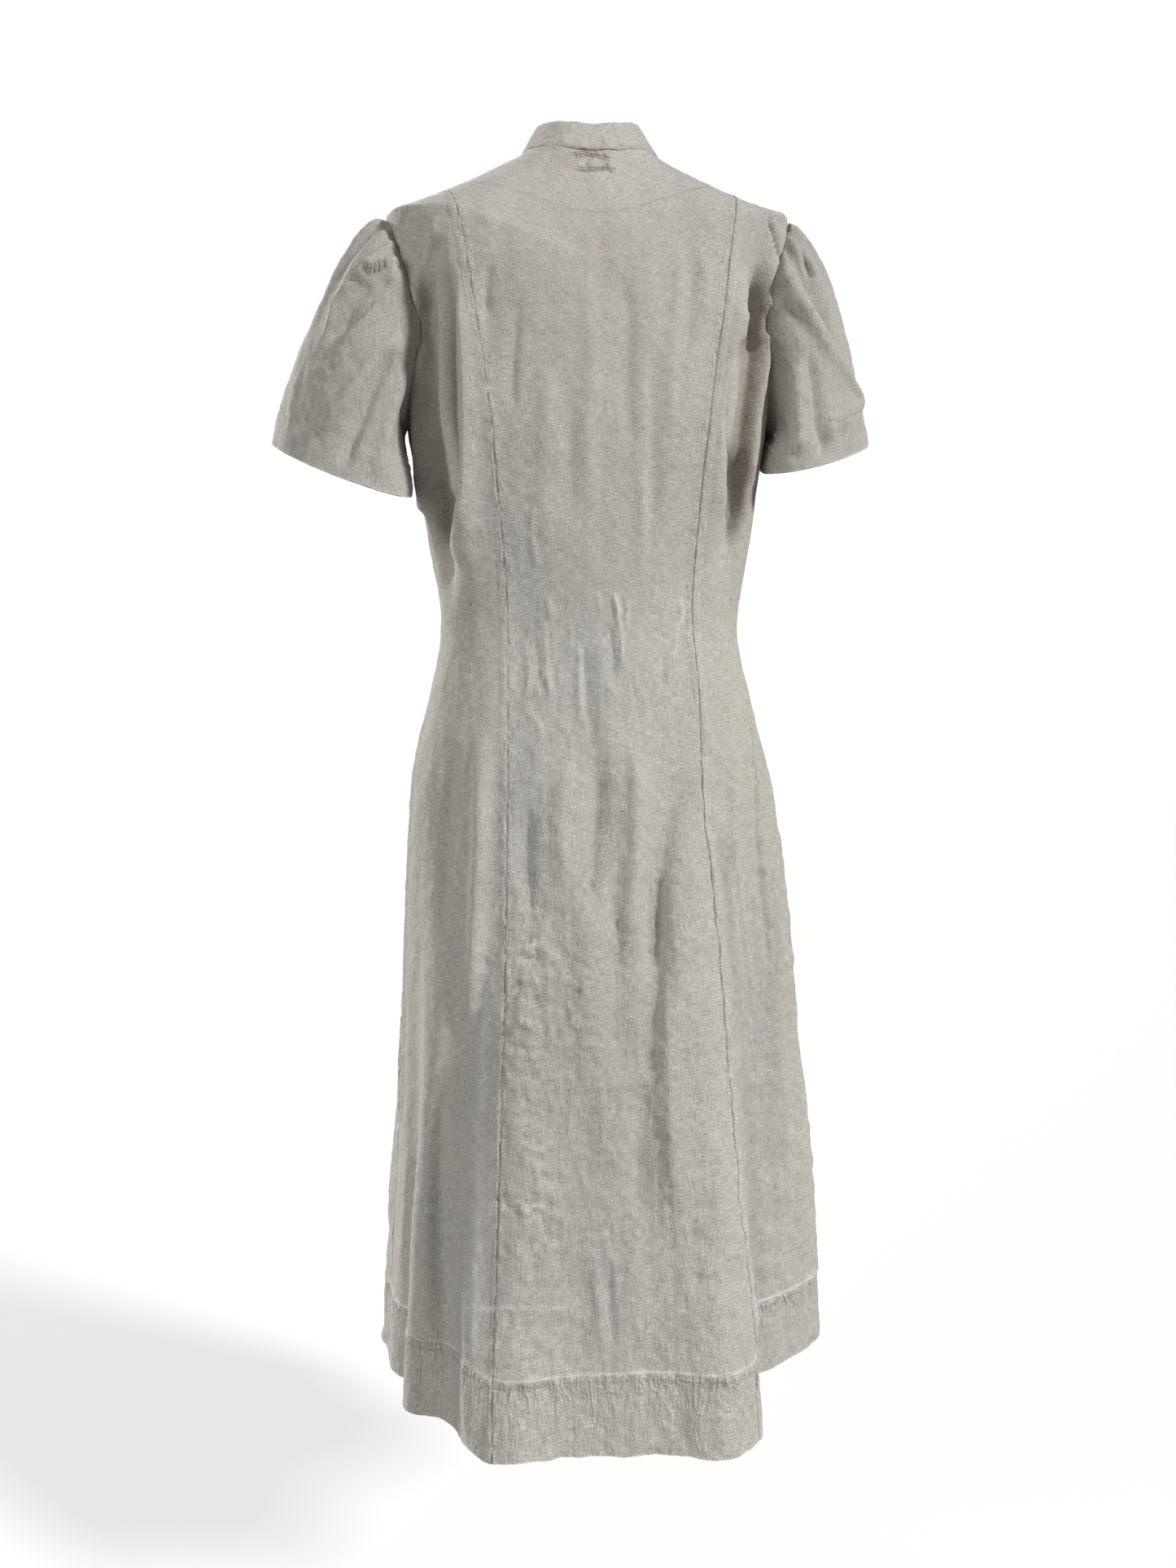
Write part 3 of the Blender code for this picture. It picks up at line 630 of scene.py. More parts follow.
print("creases of the back:", len(BACK_CREASES) + len(CRUMPLE_CREASES))

# %% [markdown]
# The sleeves are stiff and set in with flat pleats at the cap. Each pleat is a ridge with one
# steep side, so it looks like a layer that lies on the next one, and long soft folds run from
# the cap to the hem.

# %% Creases of the sleeves and the collar
SLEEVE_LEFT_CREASES = (
    (4, 2, 9, 5, ((481, 297), (469, 307), (456, 317), (444, 330), (438, 346))),
    (4.6, 10, 2, 5, ((491, 325), (474, 328), (460, 331), (450, 335))),
    (-4.4, 8, 4, 14, ((484, 338), (470, 352), (450, 376), (430, 396), (414, 412))),
    (-3.6, 9, 8, 20, ((462, 340), (444, 362), (420, 394), (402, 424))),
    (4.2, 10, 8, 30, ((500, 406), (470, 440), (440, 474), (410, 510), (392, 540))),
    (-5, 9, 6, 26, ((486, 424), (466, 462), (446, 508), (430, 550), (420, 584))),
    (4, 6, 7, 26, ((499, 444), (486, 490), (472, 540), (462, 600))),
    (-3.2, 3.4, 3, 6, ((496, 500), (491, 513), (495, 526))),
    (0.9, 1.2, 1.2, 8, ((424, 392), (442, 389), (461, 390), (480, 396), (498, 405))),
    (0.8, 1.2, 1.2, 8, ((466, 368), (480, 373), (496, 382))),
    (1.6, 5, 3, 16, ((450, 344), (428, 352), (414, 364), (407, 386), (402, 412))),
    (-1.6, 7, 8, 20, ((418, 394), (402, 424), (390, 452))),
    (1.2, 1.4, 1.8, 4, ((388, 429), (394, 425), (400, 420))),
    (1, 1.4, 1.8, 4, ((392, 458), (397, 450), (402, 444))),
    (1.2, 7, 7, 24, ((372, 440), (362, 480), (354, 520))),
    (-1.4, 6, 6, 24, ((386, 470), (378, 510), (370, 552))),
    (1.3, 5, 4, 16, ((474, 520), (480, 560), (478, 604))),
)
SLEEVE_RIGHT_CREASES = (
    (3.6, 8, 2, 4, ((964, 286), (975, 288), (984, 298), (990, 316))),
    (-4.2, 3, 6, 6, ((972, 294), (982, 302), (990, 322), (1000, 344))),
    (2, 5, 1.4, 5, ((963, 310), (968, 332), (976, 350))),
    (-4.2, 6, 8, 20, ((976, 318), (990, 350), (1006, 384), (1024, 420))),
    (0.9, 1.1, 1.1, 5, ((988, 324), (978, 333), (969, 345))),
    (0.9, 1.1, 1.1, 5, ((998, 352), (992, 361), (987, 369))),
    (1, 1.1, 1.1, 5, ((1020, 370), (1010, 379), (1001, 388))),
    (4, 8, 8, 26, ((969, 350), (985, 372), (1003, 400), (1028, 446), (1052, 490), (1064, 530))),
    (-4.6, 7, 8, 24, ((994, 428), (999, 470), (1005, 520), (1014, 570))),
    (3.4, 5, 6, 20, ((975, 440), (979, 480), (982, 520), (984, 566))),
    (-2.4, 4, 4, 10, ((957, 512), (964, 526), (972, 542))),
    (1.3, 1.4, 1.4, 6, ((940, 520), (950, 530), (962, 545))),
    (1.3, 1.4, 1.4, 6, ((938, 545), (950, 552), (960, 560))),
    (1.5, 5, 5, 20, ((1026, 476), (1034, 520), (1038, 560))),
    (-1.4, 5, 5, 20, ((1040, 468), (1052, 506), (1056, 548))),
)
COLLAR_CREASES = (
    (0.7, 1.2, 1.2, 20, ((655, 184), (684, 169), (712, 166), (748, 171), (780, 184))),
    (-0.8, 2, 3, 8, ((664, 176), (690, 166), (704, 164))),
    (0.8, 2, 2, 5, ((738, 158), (742, 168), (746, 180))),
    (-0.8, 2, 2, 5, ((752, 160), (757, 172), (764, 184))),
)
# the paths of these are (degrees, down) places on the hidden front and sides
HIDDEN_CREASES = (
    (1.8, 8, 6, 40, ((282, 0.22), (288, 0.32), (292, 0.42))),
    (-1.6, 7, 7, 40, ((296, 0.24), (300, 0.36), (304, 0.46))),
    (1.8, 6, 8, 40, ((258, 0.22), (252, 0.32), (248, 0.42))),
    (-1.5, 7, 7, 40, ((244, 0.25), (240, 0.37), (236, 0.47))),
    (1.5, 3, 4, 16, ((300, 0.5), (298, 0.56), (301, 0.62))),
    (-1.4, 4, 3, 16, ((306, 0.51), (305, 0.57), (308, 0.63))),
    (1.4, 3, 4, 16, ((241, 0.5), (243, 0.56), (240, 0.62))),
    (1.3, 3, 3, 16, ((288, 0.51), (287, 0.56), (290, 0.6))),
    (-1.3, 3, 4, 16, ((250, 0.52), (249, 0.58), (252, 0.63))),
    (-2, 9, 9, 60, ((284, 0.66), (286, 0.85), (282, 1.05))),
    (2, 9, 9, 60, ((256, 0.66), (254, 0.86), (257, 1.04))),
    (1.8, 8, 8, 50, ((312, 0.7), (314, 0.9), (312, 1.12))),
    (-1.8, 8, 8, 50, ((228, 0.7), (226, 0.92), (229, 1.14))),
    (1.6, 6, 6, 40, ((338, 0.62), (340, 0.82), (341, 1.02))),
    (-1.6, 6, 6, 40, ((204, 0.64), (202, 0.84), (201, 1.04))),
    (1.6, 6, 6, 40, ((4, 0.62), (6, 0.84), (6, 1.06))),
    (-1.5, 6, 6, 40, ((356, 0.6), (358, 0.8), (357, 1))),
    (1.5, 6, 5, 40, ((188, 0.7), (187, 0.9), (186, 1.1))),
)


# %% What a crease does to the cloth
CREASE_STRENGTH = 1.45
CREASE_REACH = 2.4
SAME_PLACE = 0.00001
RUBBED_AND_LIT_WIDTH = 0.0042


class Crease:
    """A ridge or trough along a path on the cloth."""

    def __init__(self, height, left, right, ends, points, normals):
        self.height = height * MILLIMETRE * CREASE_STRENGTH
        self.left = left * MILLIMETRE
        self.right = right * MILLIMETRE
        self.ends = ends * MILLIMETRE
        kept = np.concatenate([[True], gaps(points) > SAME_PLACE])
        self.points = points[kept]
        self.steps = np.diff(self.points, axis=0)
        self.lengths = gaps(self.points)
        self.sideways = unit(np.cross(normals[kept][:-1], self.steps))
        reach = CREASE_REACH * max(self.left, self.right)
        self.low = self.points.min(axis=0) - reach
        self.high = self.points.max(axis=0) + reach

    def near(self, places):
        """Which places lie close enough to be lifted."""
        return np.all((places > self.low) & (places < self.high), axis=1)

    def lift(self, places):
        """How far this crease lifts each place."""
        starts = self.points[:-1]
        from_start = places[:, None, :] - starts[None]
        along = np.einsum("ijk,jk->ij", from_start, self.steps) / self.lengths**2
        along = np.clip(along, 0.0, 1.0)
        gap = from_start - along[..., None] * self.steps[None]
        squared = np.einsum("ijk,ijk->ij", gap, gap)
        nearest = squared.argmin(axis=1)
        row = np.arange(len(places))
        away = np.sqrt(squared[row, nearest])
        side = np.einsum("ij,ij->i", gap[row, nearest], self.sideways[nearest])
        width = np.where(side > 0.0, self.right, self.left)
        length = walked(self.points)
        at = length[nearest] + along[row, nearest] * self.lengths[nearest]
        fade = ease(at / self.ends) * ease((length[-1] - at) / self.ends)
        return self.height * bell(away, width) * fade


def hand_creases():
    seen = {
        "body": BACK_CREASES + CRUMPLE_CREASES,
        "sleeve_left": SLEEVE_LEFT_CREASES,
        "sleeve_right": SLEEVE_RIGHT_CREASES,
        "collar_band": COLLAR_CREASES,
    }
    placed = {}
    for on, rows in seen.items():
        placed[on] = [Crease(*sizes, *seen_path(on, path)) for *sizes, path in rows]
    placed["body"] += [Crease(*sizes, *form_path(path)) for *sizes, path in HIDDEN_CREASES]
    return placed


CREASES = hand_creases()
# sharp ridges are paler along their tops: partly rubbed wear, partly painted highlight
RUBBED_AND_LIT_CRESTS = [
    crease for crease in CREASES["body"]
    if crease.height > 0.0 and max(crease.left, crease.right) < RUBBED_AND_LIT_WIDTH
]
print("creases placed by hand:", {on: len(rows) for on, rows in CREASES.items()})

# %% [markdown]
# ## Small creases scattered by chance
#
# Between the folds that anyone would draw, washed linen has hundreds of small creases. Their
# places may be left to chance, with a fixed seed so that every run gives the same dress. They lie
# thicker in some patches than in others: low on the back, where the dress was sat on, they crowd.

# %% Scattered creases
CHANCE = np.random.default_rng(20)
# middle and half sizes in the photograph, how many, height, width, and how much they slant
CRUMPLED_PATCHES = {
    "body": (
        (665, 1250, 46, 110, 110, 1.0, 1.7, 1.0),
        (660, 1470, 48, 110, 90, 0.9, 1.7, 1.0),
        (760, 1350, 110, 260, 110, 0.6, 1.8, 0.8),
        (860, 1600, 50, 80, 26, 0.6, 1.6, 0.8),
        (700, 860, 90, 90, 44, 0.7, 1.6, 0.35),
        (800, 860, 60, 90, 34, 0.7, 1.6, 0.35),
        (940, 1150, 26, 220, 50, 0.6, 1.8, 0.7),
        (960, 1400, 26, 160, 30, 0.55, 1.8, 0.7),
        (905, 1000, 18, 200, 26, 0.45, 1.5, 0.7),
        (560, 1000, 40, 250, 24, 0.35, 1.8, 0.5),
        (545, 1500, 50, 200, 34, 0.4, 1.8, 0.6),
        (740, 420, 100, 150, 22, 0.3, 2.2, 0.4),
        (600, 560, 40, 160, 14, 0.3, 2.0, 0.4),
    ),
    "sleeve_left": ((420, 440, 60, 90, 44, 0.55, 1.6, 1.0),),
    "sleeve_right": ((1010, 440, 40, 90, 44, 0.6, 1.6, 1.0),),
    "collar_band": ((712, 175, 60, 12, 12, 0.3, 1.4, 0.8),),
}
HIDDEN_COUNT = 170
HIDDEN_DOWN = (0.2, 1.2)
HIDDEN_DEGREES = (186.0, 354.0)
HIDDEN_HALF_LENGTH = (0.006, 0.018)
HIDDEN_RADIUS = 0.15
HIDDEN_HEIGHT = 0.5
HIDDEN_WIDTH = 1.9
SEEN_HALF_LENGTH = (8.0, 22.0)
SEEN_BEND = 2.5
SEEN_STEP = 9.0
LONGEST_STEP = 0.02
HEIGHT_SHARES = (0.4, 1.3)
WIDTH_SHARES = (0.7, 1.6)
END_SHARE = 0.45


def add_scattered(on, height, width, ends, points, normals):
    size = height * CHANCE.uniform(*HEIGHT_SHARES) * CHANCE.choice([-1.0, 1.0])
    sides = width * CHANCE.uniform(*WIDTH_SHARES, 2)
    CREASES[on].append(Crease(size, sides[0], sides[1], ends, points, normals))


def scatter_creases():
    """Small creases in each patch, and evenly over the hidden front."""
    total = 0
    patches = [(on, *row) for on, rows in CRUMPLED_PATCHES.items() for row in rows]
    for on, x, y, wide, tall, count, height, width, slant in patches:
        for _ in range(count):
            away = CHANCE.normal(0.0, 0.5, 2)
            middle = np.array([x + away[0] * wide, y + away[1] * tall])
            turn = CHANCE.uniform(-1.0, 1.0) * slant * math.pi / 2.0
            half = CHANCE.uniform(*SEEN_HALF_LENGTH)
            way = np.array([math.sin(turn), math.cos(turn)]) * half
            bend = CHANCE.normal(0.0, SEEN_BEND, 2)
            points, normals = seen_path(on, [middle - way, middle + bend, middle + way], SEEN_STEP)
            if gaps(points).max() > LONGEST_STEP:
                continue
            add_scattered(on, height, width, half * END_SHARE, points, normals)
            total += 1
    for _ in range(HIDDEN_COUNT):
        degrees = CHANCE.uniform(*HIDDEN_DEGREES)
        down = CHANCE.uniform(*HIDDEN_DOWN)
        turn = CHANCE.normal(0.0, 0.6)
        half = CHANCE.uniform(*HIDDEN_HALF_LENGTH)
        across = math.degrees(math.sin(turn) * half / HIDDEN_RADIUS)
        lower = down + math.cos(turn) * half
        bent = (degrees + CHANCE.normal(0.0, 0.6), down)
        path = ((degrees - across, down - math.cos(turn) * half), bent, (degrees + across, lower))
        ends = half * END_SHARE / MILLIMETRE
        add_scattered("body", HIDDEN_HEIGHT, HIDDEN_WIDTH, ends, *form_path(path))
    return total + HIDDEN_COUNT


print("creases scattered:", scatter_creases())

# %% [markdown]
# ## Unevenness of the cloth itself
#
# Even where nothing is creased, linen is never smooth. A lattice of random numbers, read with a
# smooth step between its corners, gives a soft uneven surface. It is used in two sizes, about
# 40 mm for the slack of the cloth and 13 mm for ripples. The ridged kind, high where the noise
# passes through nought, looks like the crackle of dried cloth, and comes in two sizes as well.
# It is stronger where the skirt is crumpled, and the left side of the back is the smoothest.

# %% Noise and the sum of all lifts
LATTICE = 32
NOISE_TABLE = np.random.default_rng(7).random((LATTICE, LATTICE, LATTICE))


def noise(places):
    """Smooth random numbers between -1 and 1."""
    floor = np.floor(places).astype(int)
    part = ease(places - floor)
    total = np.zeros(places.shape[:-1])
    for corner in itertools.product((0, 1), repeat=3):
        weight = np.prod(np.where(corner, part, 1.0 - part), axis=-1)
        at = (floor + corner) % LATTICE
        total += weight * NOISE_TABLE[at[..., 0], at[..., 1], at[..., 2]]
    return 2.0 * total - 1.0


def crackle(places):
    return 1.0 - 2.0 * np.abs(noise(places))


SMOOTHER_FROM = 0.075
SMOOTHER_STEP = 0.03
SMOOTHER_BY = 0.8
CRUMPLED_BELOW = -0.45
CRUMPLED_STEP = 0.35
CRUMPLED_ELSEWHERE = 0.25


def leftward_of(places):
    """1 on the smoother left side of the back, 0 elsewhere."""
    return ease((places[..., 0] - SMOOTHER_FROM) / SMOOTHER_STEP) * (places[..., 1] > 0.0)


def crumpled_at(on, places):
    """How crumpled the cloth is: the lower back is, and the lower left less so."""
    if on != "body":
        return np.full(places.shape[:-1], CRUMPLED_ELSEWHERE)
    below = ease((CRUMPLED_BELOW - places[..., 2]) / CRUMPLED_STEP)
    return below * (1.0 - SMOOTHER_BY * leftward_of(places))


SLACK = {"body": 0.003, "sleeve_left": 0.0022, "sleeve_right": 0.0022, "collar_band": 0.0005}
SLACK_SIZE = 0.038
RIPPLE = 0.0006
RIPPLE_SIZE = 0.013
LENGTHWISE = (1.0, 1.0, 0.3)
# height, more where crumpled, size, squash along z, and a shift to another part of the lattice
CRACKLES = (
    (0.0004, 0.0008, 0.024, 0.8, 5.0),
    (0.0003, 0.0007, 0.009, 1.0, 17.0),
)


def lift_of(on, points):
    """Everything that lifts the cloth off its plain form, in metres."""
    flat = points.reshape(-1, 3)
    lift = np.zeros(len(flat))
    for crease in CREASES[on]:
        near = crease.near(flat)
        if near.any():
            lift[near] += crease.lift(flat[near])
    tall = flat * LENGTHWISE
    lift += SLACK[on] * (1.0 - 0.5 * leftward_of(flat)) * noise(tall / SLACK_SIZE + 11.0)
    lift += RIPPLE * noise(tall / RIPPLE_SIZE + 31.0)
    crumpled = crumpled_at(on, flat)
    for height, more, size, squash, shift in CRACKLES:
        lift += (height + more * crumpled) * crackle(flat * (1.0, 1.0, squash) / size + shift)
    return lift.reshape(points.shape[:-1])


# %% [markdown]
# ## The cloth wall
#
# Every cut piece is made in one way: a flat grid, extruded once to give it an inner and an outer
# layer, and then carried to the shape. Each corner keeps the number of its place in a layer
# called "spot", so its new position can be looked up. A second layer keeps the piece's flat
# pattern as a UV map in which one unit is `PATTERN_UNIT` metres, which is where the weave is
# drawn, and a colour called "marks" says how worn, soiled, tinted and crumpled each spot is. Its
# worn channel also carries painted light, and its soiled channel painted shade.

# %% Making a wall from two grids of points
CLOTH = 0.0008
PATTERN_UNIT = 1.5
CLOTH_SHARP = math.radians(60.0)
GRIDS = {}


def wall_mesh(name, outer, inner, closed):
    """A closed wall between two grids of points, each vertex with its spot number."""
    rows, columns = outer.shape[:2]
    mesh = bpy.data.meshes.new(name)
    work = bmesh.new()
    bmesh.ops.create_grid(work, x_segments=columns - 1, y_segments=rows - 1, size=0.5)
    spot = work.verts.layers.int.new("spot")
    outer_points = outer.reshape(-1, 3)
    inner_points = inner.reshape(-1, 3)
    for vertex in work.verts:
        column = round((vertex.co.x + 0.5) * (columns - 1))
        row = round((vertex.co.y + 0.5) * (rows - 1))
        vertex[spot] = row * columns + column
        vertex.co = outer_points[vertex[spot]]
    if closed:
        bmesh.ops.remove_doubles(work, verts=work.verts[:], dist=1e-7)
    made = bmesh.ops.extrude_face_region(work, geom=work.faces[:], use_keep_orig=True)
    for vertex in made["geom"]:
        if isinstance(vertex, bmesh.types.BMVert):
            vertex.co = inner_points[vertex[spot]]
    bmesh.ops.recalc_face_normals(work, faces=work.faces[:])
    work.to_mesh(mesh)
    work.free()
    mesh.shade_smooth()
    mesh.set_sharp_from_angle(angle=CLOTH_SHARP)
    return mesh


def lay_pattern(mesh, flat, marks, columns):
    """Give each corner its place on the flat pattern, and each vertex its marks."""
    spots = np.zeros(len(mesh.vertices), np.int32)
    mesh.attributes["spot"].data.foreach_get("value", spots)
    colour = mesh.attributes.new("marks", "FLOAT_COLOR", "POINT")
    colour.data.foreach_set("color", marks.reshape(-1, 4)[spots].astype(np.float32).ravel())
    corner_vertex = np.zeros(len(mesh.loops), np.int32)
    mesh.loops.foreach_get("vertex_index", corner_vertex)
    spot = spots[corner_vertex].reshape(-1, 4)
    column = spot % columns
    wraps = (column.max(axis=1) - column.min(axis=1) > columns // 2)[:, None] & (column == 0)
    spot = np.where(wraps, spot + columns - 1, spot)
    layer = mesh.uv_layers.new(name="pattern")
    places = flat.reshape(-1, 2)[spot.ravel()] / PATTERN_UNIT
    layer.uv.foreach_set("vector", places.astype(np.float32).ravel())
    mesh.attributes.remove(mesh.attributes["spot"])


def surface_normals(points, closed=False):
    """Normals of a grid of points, from its neighbours."""
    around = np.gradient(points, axis=1)
    if closed:
        around[:, 0] = points[:, 1] - points[:, -2]
        around[:, -1] = around[:, 0]
    return unit(np.cross(np.gradient(points, axis=0), around))


def make_piece(name, outer, thick, flat, marks, material, closed=False):
    """Build a piece of cloth, replace its CAD node with it and let it ride on the dress."""
    normals = surface_normals(outer, closed)
    centre = outer.shape[0] // 2, outer.shape[1] // 2
    if not closed and np.dot(normals[centre], outer[centre] * (1.0, 1.0, 0.0)) < 0.0:
        normals = -normals
    inner = outer - normals * thick[..., None]
    mesh = wall_mesh(name, outer, inner, closed)
    lay_pattern(mesh, flat, marks, outer.shape[1])
    mesh.materials.append(material)
    piece = add_object(name + "_cloth", mesh)
    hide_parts(name)
    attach(piece, "root")
    GRIDS[name] = (outer, normals)
    print(name, "triangles:", 2 * len(mesh.polygons))
    return piece


# %% [markdown]
# ## The linen
#
# The cloth is unbleached linen in a plain weave. Close up it has threads of uneven thickness,
# slubs along both directions, and a slight fuzz that catches the light. From a few steps away it
# is mottled: bluish grey where it was starched and rubbed, yellowish where it aged. The weave is
# drawn on the flat pattern, so it follows each cut piece, and the mottling is read from the
# object's own coordinates, so it runs on across the seams.
#
# Weave, mottling and fine creases are three node groups, so that each can be read and changed by
# itself. A group hands out only masks and heights. The shader, with its sheen, stays in the
# material.

# %% Helpers for nodes
def add_node(tree, kind, links=(), **values):
    """A node with its input values set, joined to the sockets that feed it."""
    made = tree.nodes.new("ShaderNode" + kind)
    for name, value in values.items():
        setattr(made, name, value)
    for key, source in dict(links).items():
        if isinstance(source, bpy.types.NodeSocket):
            tree.links.new(source, made.inputs[key])
        else:
            made.inputs[key].default_value = source
    return made


def maths(tree, operation, first, second=0.0):
    return add_node(tree, "Math", {0: first, 1: second}, operation=operation).outputs[0]


def times(tree, first, second):
    return maths(tree, "MULTIPLY", first, second)


def added(tree, first, second):
    return maths(tree, "ADD", first, second)


def mixed(tree, share, first, second, blend="MIX"):
    links = {"Factor": share, "A": first, "B": second}
    made = tree.nodes.new("ShaderNodeMix")
    made.data_type = "RGBA"
    made.blend_type = blend
    made.clamp_factor = True
    for key, source in links.items():
        socket = next(item for item in made.inputs if item.name == key and item.enabled)
        if isinstance(source, bpy.types.NodeSocket):
            tree.links.new(source, socket)
        else:
            socket.default_value = source
    return next(item for item in made.outputs if item.enabled)


def new_group(name, inputs, outputs):
    group = bpy.data.node_groups.new(name, "ShaderNodeTree")
    for label, kind, value in inputs:
        socket = group.interface.new_socket(label, in_out="INPUT", socket_type="NodeSocket" + kind)
        if value is not None:
            socket.default_value = value
    for label, kind in outputs:
        group.interface.new_socket(label, in_out="OUTPUT", socket_type="NodeSocket" + kind)
    return group, group.nodes.new("NodeGroupInput"), group.nodes.new("NodeGroupOutput")


def stretched_noise(tree, vector, scale, shift, settings):
    """Noise with its own scale along each axis."""
    moved = add_node(tree, "Mapping", {"Vector": vector, "Scale": scale, "Location": shift})
    links = {"Vector": moved.outputs[0], "Scale": 1.0, **settings}
    return add_node(tree, "TexNoise", links).outputs["Fac"]


def ramp(tree, source, stops):
    """Turn a number into a grey by a few (place, value) stops."""
    made = add_node(tree, "ValToRGB", {"Fac": source})
    band = made.color_ramp
    for index, (place, value) in enumerate(stops):
        stop = band.elements[index] if index < 2 else band.elements.new(place)
        stop.position = place
        stop.color = (value, value, value, 1.0)
    return made.outputs["Color"]


# %% Node groups of the linen
THREAD_TURNS = 1900.0
THREAD_WOBBLE = 5.0
SLUB_STRETCHES = ((1700.0, 190.0, 1.0), (150.0, 1900.0, 1.0))


def weave_group():
    """Threads over and under, with slubs; reads the flat pattern."""
    outputs = (("Shade", "Float"), ("Height", "Float"))
    group, given, result = new_group("linen_weave", (("Pattern", "Vector", None),), outputs)
    pattern = given.outputs["Pattern"]
    parts = add_node(group, "SeparateXYZ", {0: pattern})
    wobble = add_node(group, "TexNoise", {"Vector": pattern, "Scale": 300.0, "Detail": 1.0})
    shift = times(group, wobble.outputs["Fac"], THREAD_WOBBLE)
    waves = []
    for direction in range(2):
        turn = times(group, parts.outputs[direction], THREAD_TURNS * PATTERN_UNIT)
        waves.append(maths(group, "SINE", added(group, turn, shift)))
    check = times(group, *waves)
    rough = {"Detail": 3.0, "Roughness": 0.6}
    slubs = [stretched_noise(group, pattern, stretch, (0.0, 0.0, 0.0), rough) for stretch in SLUB_STRETCHES]
    slub = maths(group, "SUBTRACT", added(group, *slubs), 1.0)
    height = added(group, times(group, check, 0.3), times(group, slub, 1.1))
    shade = added(group, times(group, check, 0.1), slub)
    group.links.new(shade, result.inputs["Shade"])
    group.links.new(height, result.inputs["Height"])
    return group


def mottle_group():
    """Patches of age over the whole dress; reads object coordinates."""
    outputs = (("Grey", "Float"), ("Yellow", "Float"), ("Fine", "Float"))
    group, given, result = new_group("linen_mottle", (("Place", "Vector", None),), outputs)
    place = given.outputs["Place"]
    sizes = (
        ("Grey", (9.0, 9.0, 2.4), 3.0, ((0.44, 0.0), (0.64, 1.0))),
        ("Yellow", (12.0, 12.0, 2.8), 5.0, ((0.46, 0.0), (0.7, 1.0))),
        ("Fine", (90.0, 90.0, 70.0), 4.0, ((0.3, 0.0), (0.72, 1.0))),
    )
    for number, (label, scale, detail, stops) in enumerate(sizes):
        shift = (number * 3.7, number * 1.9, number * 5.3)
        spread = stretched_noise(group, place, scale, shift, {"Detail": detail, "Roughness": 0.55})
        group.links.new(ramp(group, spread, stops), result.inputs[label])
    return group


def crinkle_group():
    """Fine creases, sharp on top and soft between; reads object coordinates."""
    inputs = (("Place", "Vector", None), ("Crumpled", "Float", 0.3))
    outputs = (("Height", "Float"), ("Crest", "Float"))
    group, given, result = new_group("linen_crinkle", inputs, outputs)
    # scale along each axis, distortion and share: long upright creases, and short ones all ways
    kinds = (((125.0, 125.0, 24.0), 0.5, 0.6), ((80.0, 80.0, 62.0), 0.9, 0.4))
    layers = []
    for number, (scale, distortion, share) in enumerate(kinds):
        settings = {"Detail": 2.0, "Distortion": distortion}
        spread = stretched_noise(group, given.outputs["Place"], scale, (number * 2.3, 4.1, 7.9), settings)
        away = maths(group, "ABSOLUTE", maths(group, "SUBTRACT", spread, 0.5))
        ridge = maths(group, "SUBTRACT", 1.0, times(group, away, 2.6))
        layers.append(times(group, maths(group, "POWER", ridge, 3.0), share))
    total = added(group, *layers)
    crest = ramp(group, total, ((0.62, 0.0), (0.95, 1.0)))
    for label, value in (("Height", total), ("Crest", crest)):
        group.links.new(times(group, value, given.outputs["Crumpled"]), result.inputs[label])
    return group


WEAVE = weave_group()
MOTTLE = mottle_group()
CRINKLE = crinkle_group()
print("node groups:", WEAVE.name, MOTTLE.name, CRINKLE.name)

# %% [markdown]
# The material mixes the linen's own colour with a cooler grey and a warmer yellow, which the
# mottling places, and with a tint, a soiled grey-brown and a pale worn colour, which the marks
# place. The grey-brown is also painted shade in the deep folds, and the pale colour is also painted
# highlight on ridge tops and painted light on the left of the skirt. The threads and the finest
# creases are far too small to model, so their heights, in metres, go into one bump: a third of a
# millimetre for the threads and about one millimetre for the sharpest of the fine creases, whose
# tops are a little paler too, partly from rubbed wear and partly as painted highlight.

# %% Linen material
LINEN = (0.535, 0.51, 0.458, 1.0)
LINEN_GREY = (0.465, 0.455, 0.43, 1.0)
LINEN_YELLOW = (0.545, 0.508, 0.432, 1.0)
# soiled grey-brown; the marks also use it for painted shade in the deep folds
LINEN_SOILED_AND_SHADED = (0.3, 0.262, 0.225, 1.0)
# pale worn colour; the marks also use it for painted highlight on ridges and painted light on the skirt
LINEN_WORN_AND_LIT = (0.8, 0.785, 0.75, 1.0)
LINEN_TINT = (0.49, 0.4, 0.345, 1.0)
LINEN_ROUGHNESS = 0.82
GREY_SHARE = 0.8
YELLOW_SHARE = 0.6
WEAVE_SHADE = 1.1
THREAD_HEIGHT = 0.00035
CRINKLE_HEIGHT = 0.0013
# paler tops of the fine creases: partly rubbed wear, partly painted highlight
CREST_PALE = 0.16
SHEEN = 0.1
SHEEN_ROUGHNESS = 0.45
SPECULAR = 0.25


def between(tree, low, high, share):
    """A value that runs from low to high as share runs from 0 to 1."""
    return added(tree, low, times(tree, share, high - low))


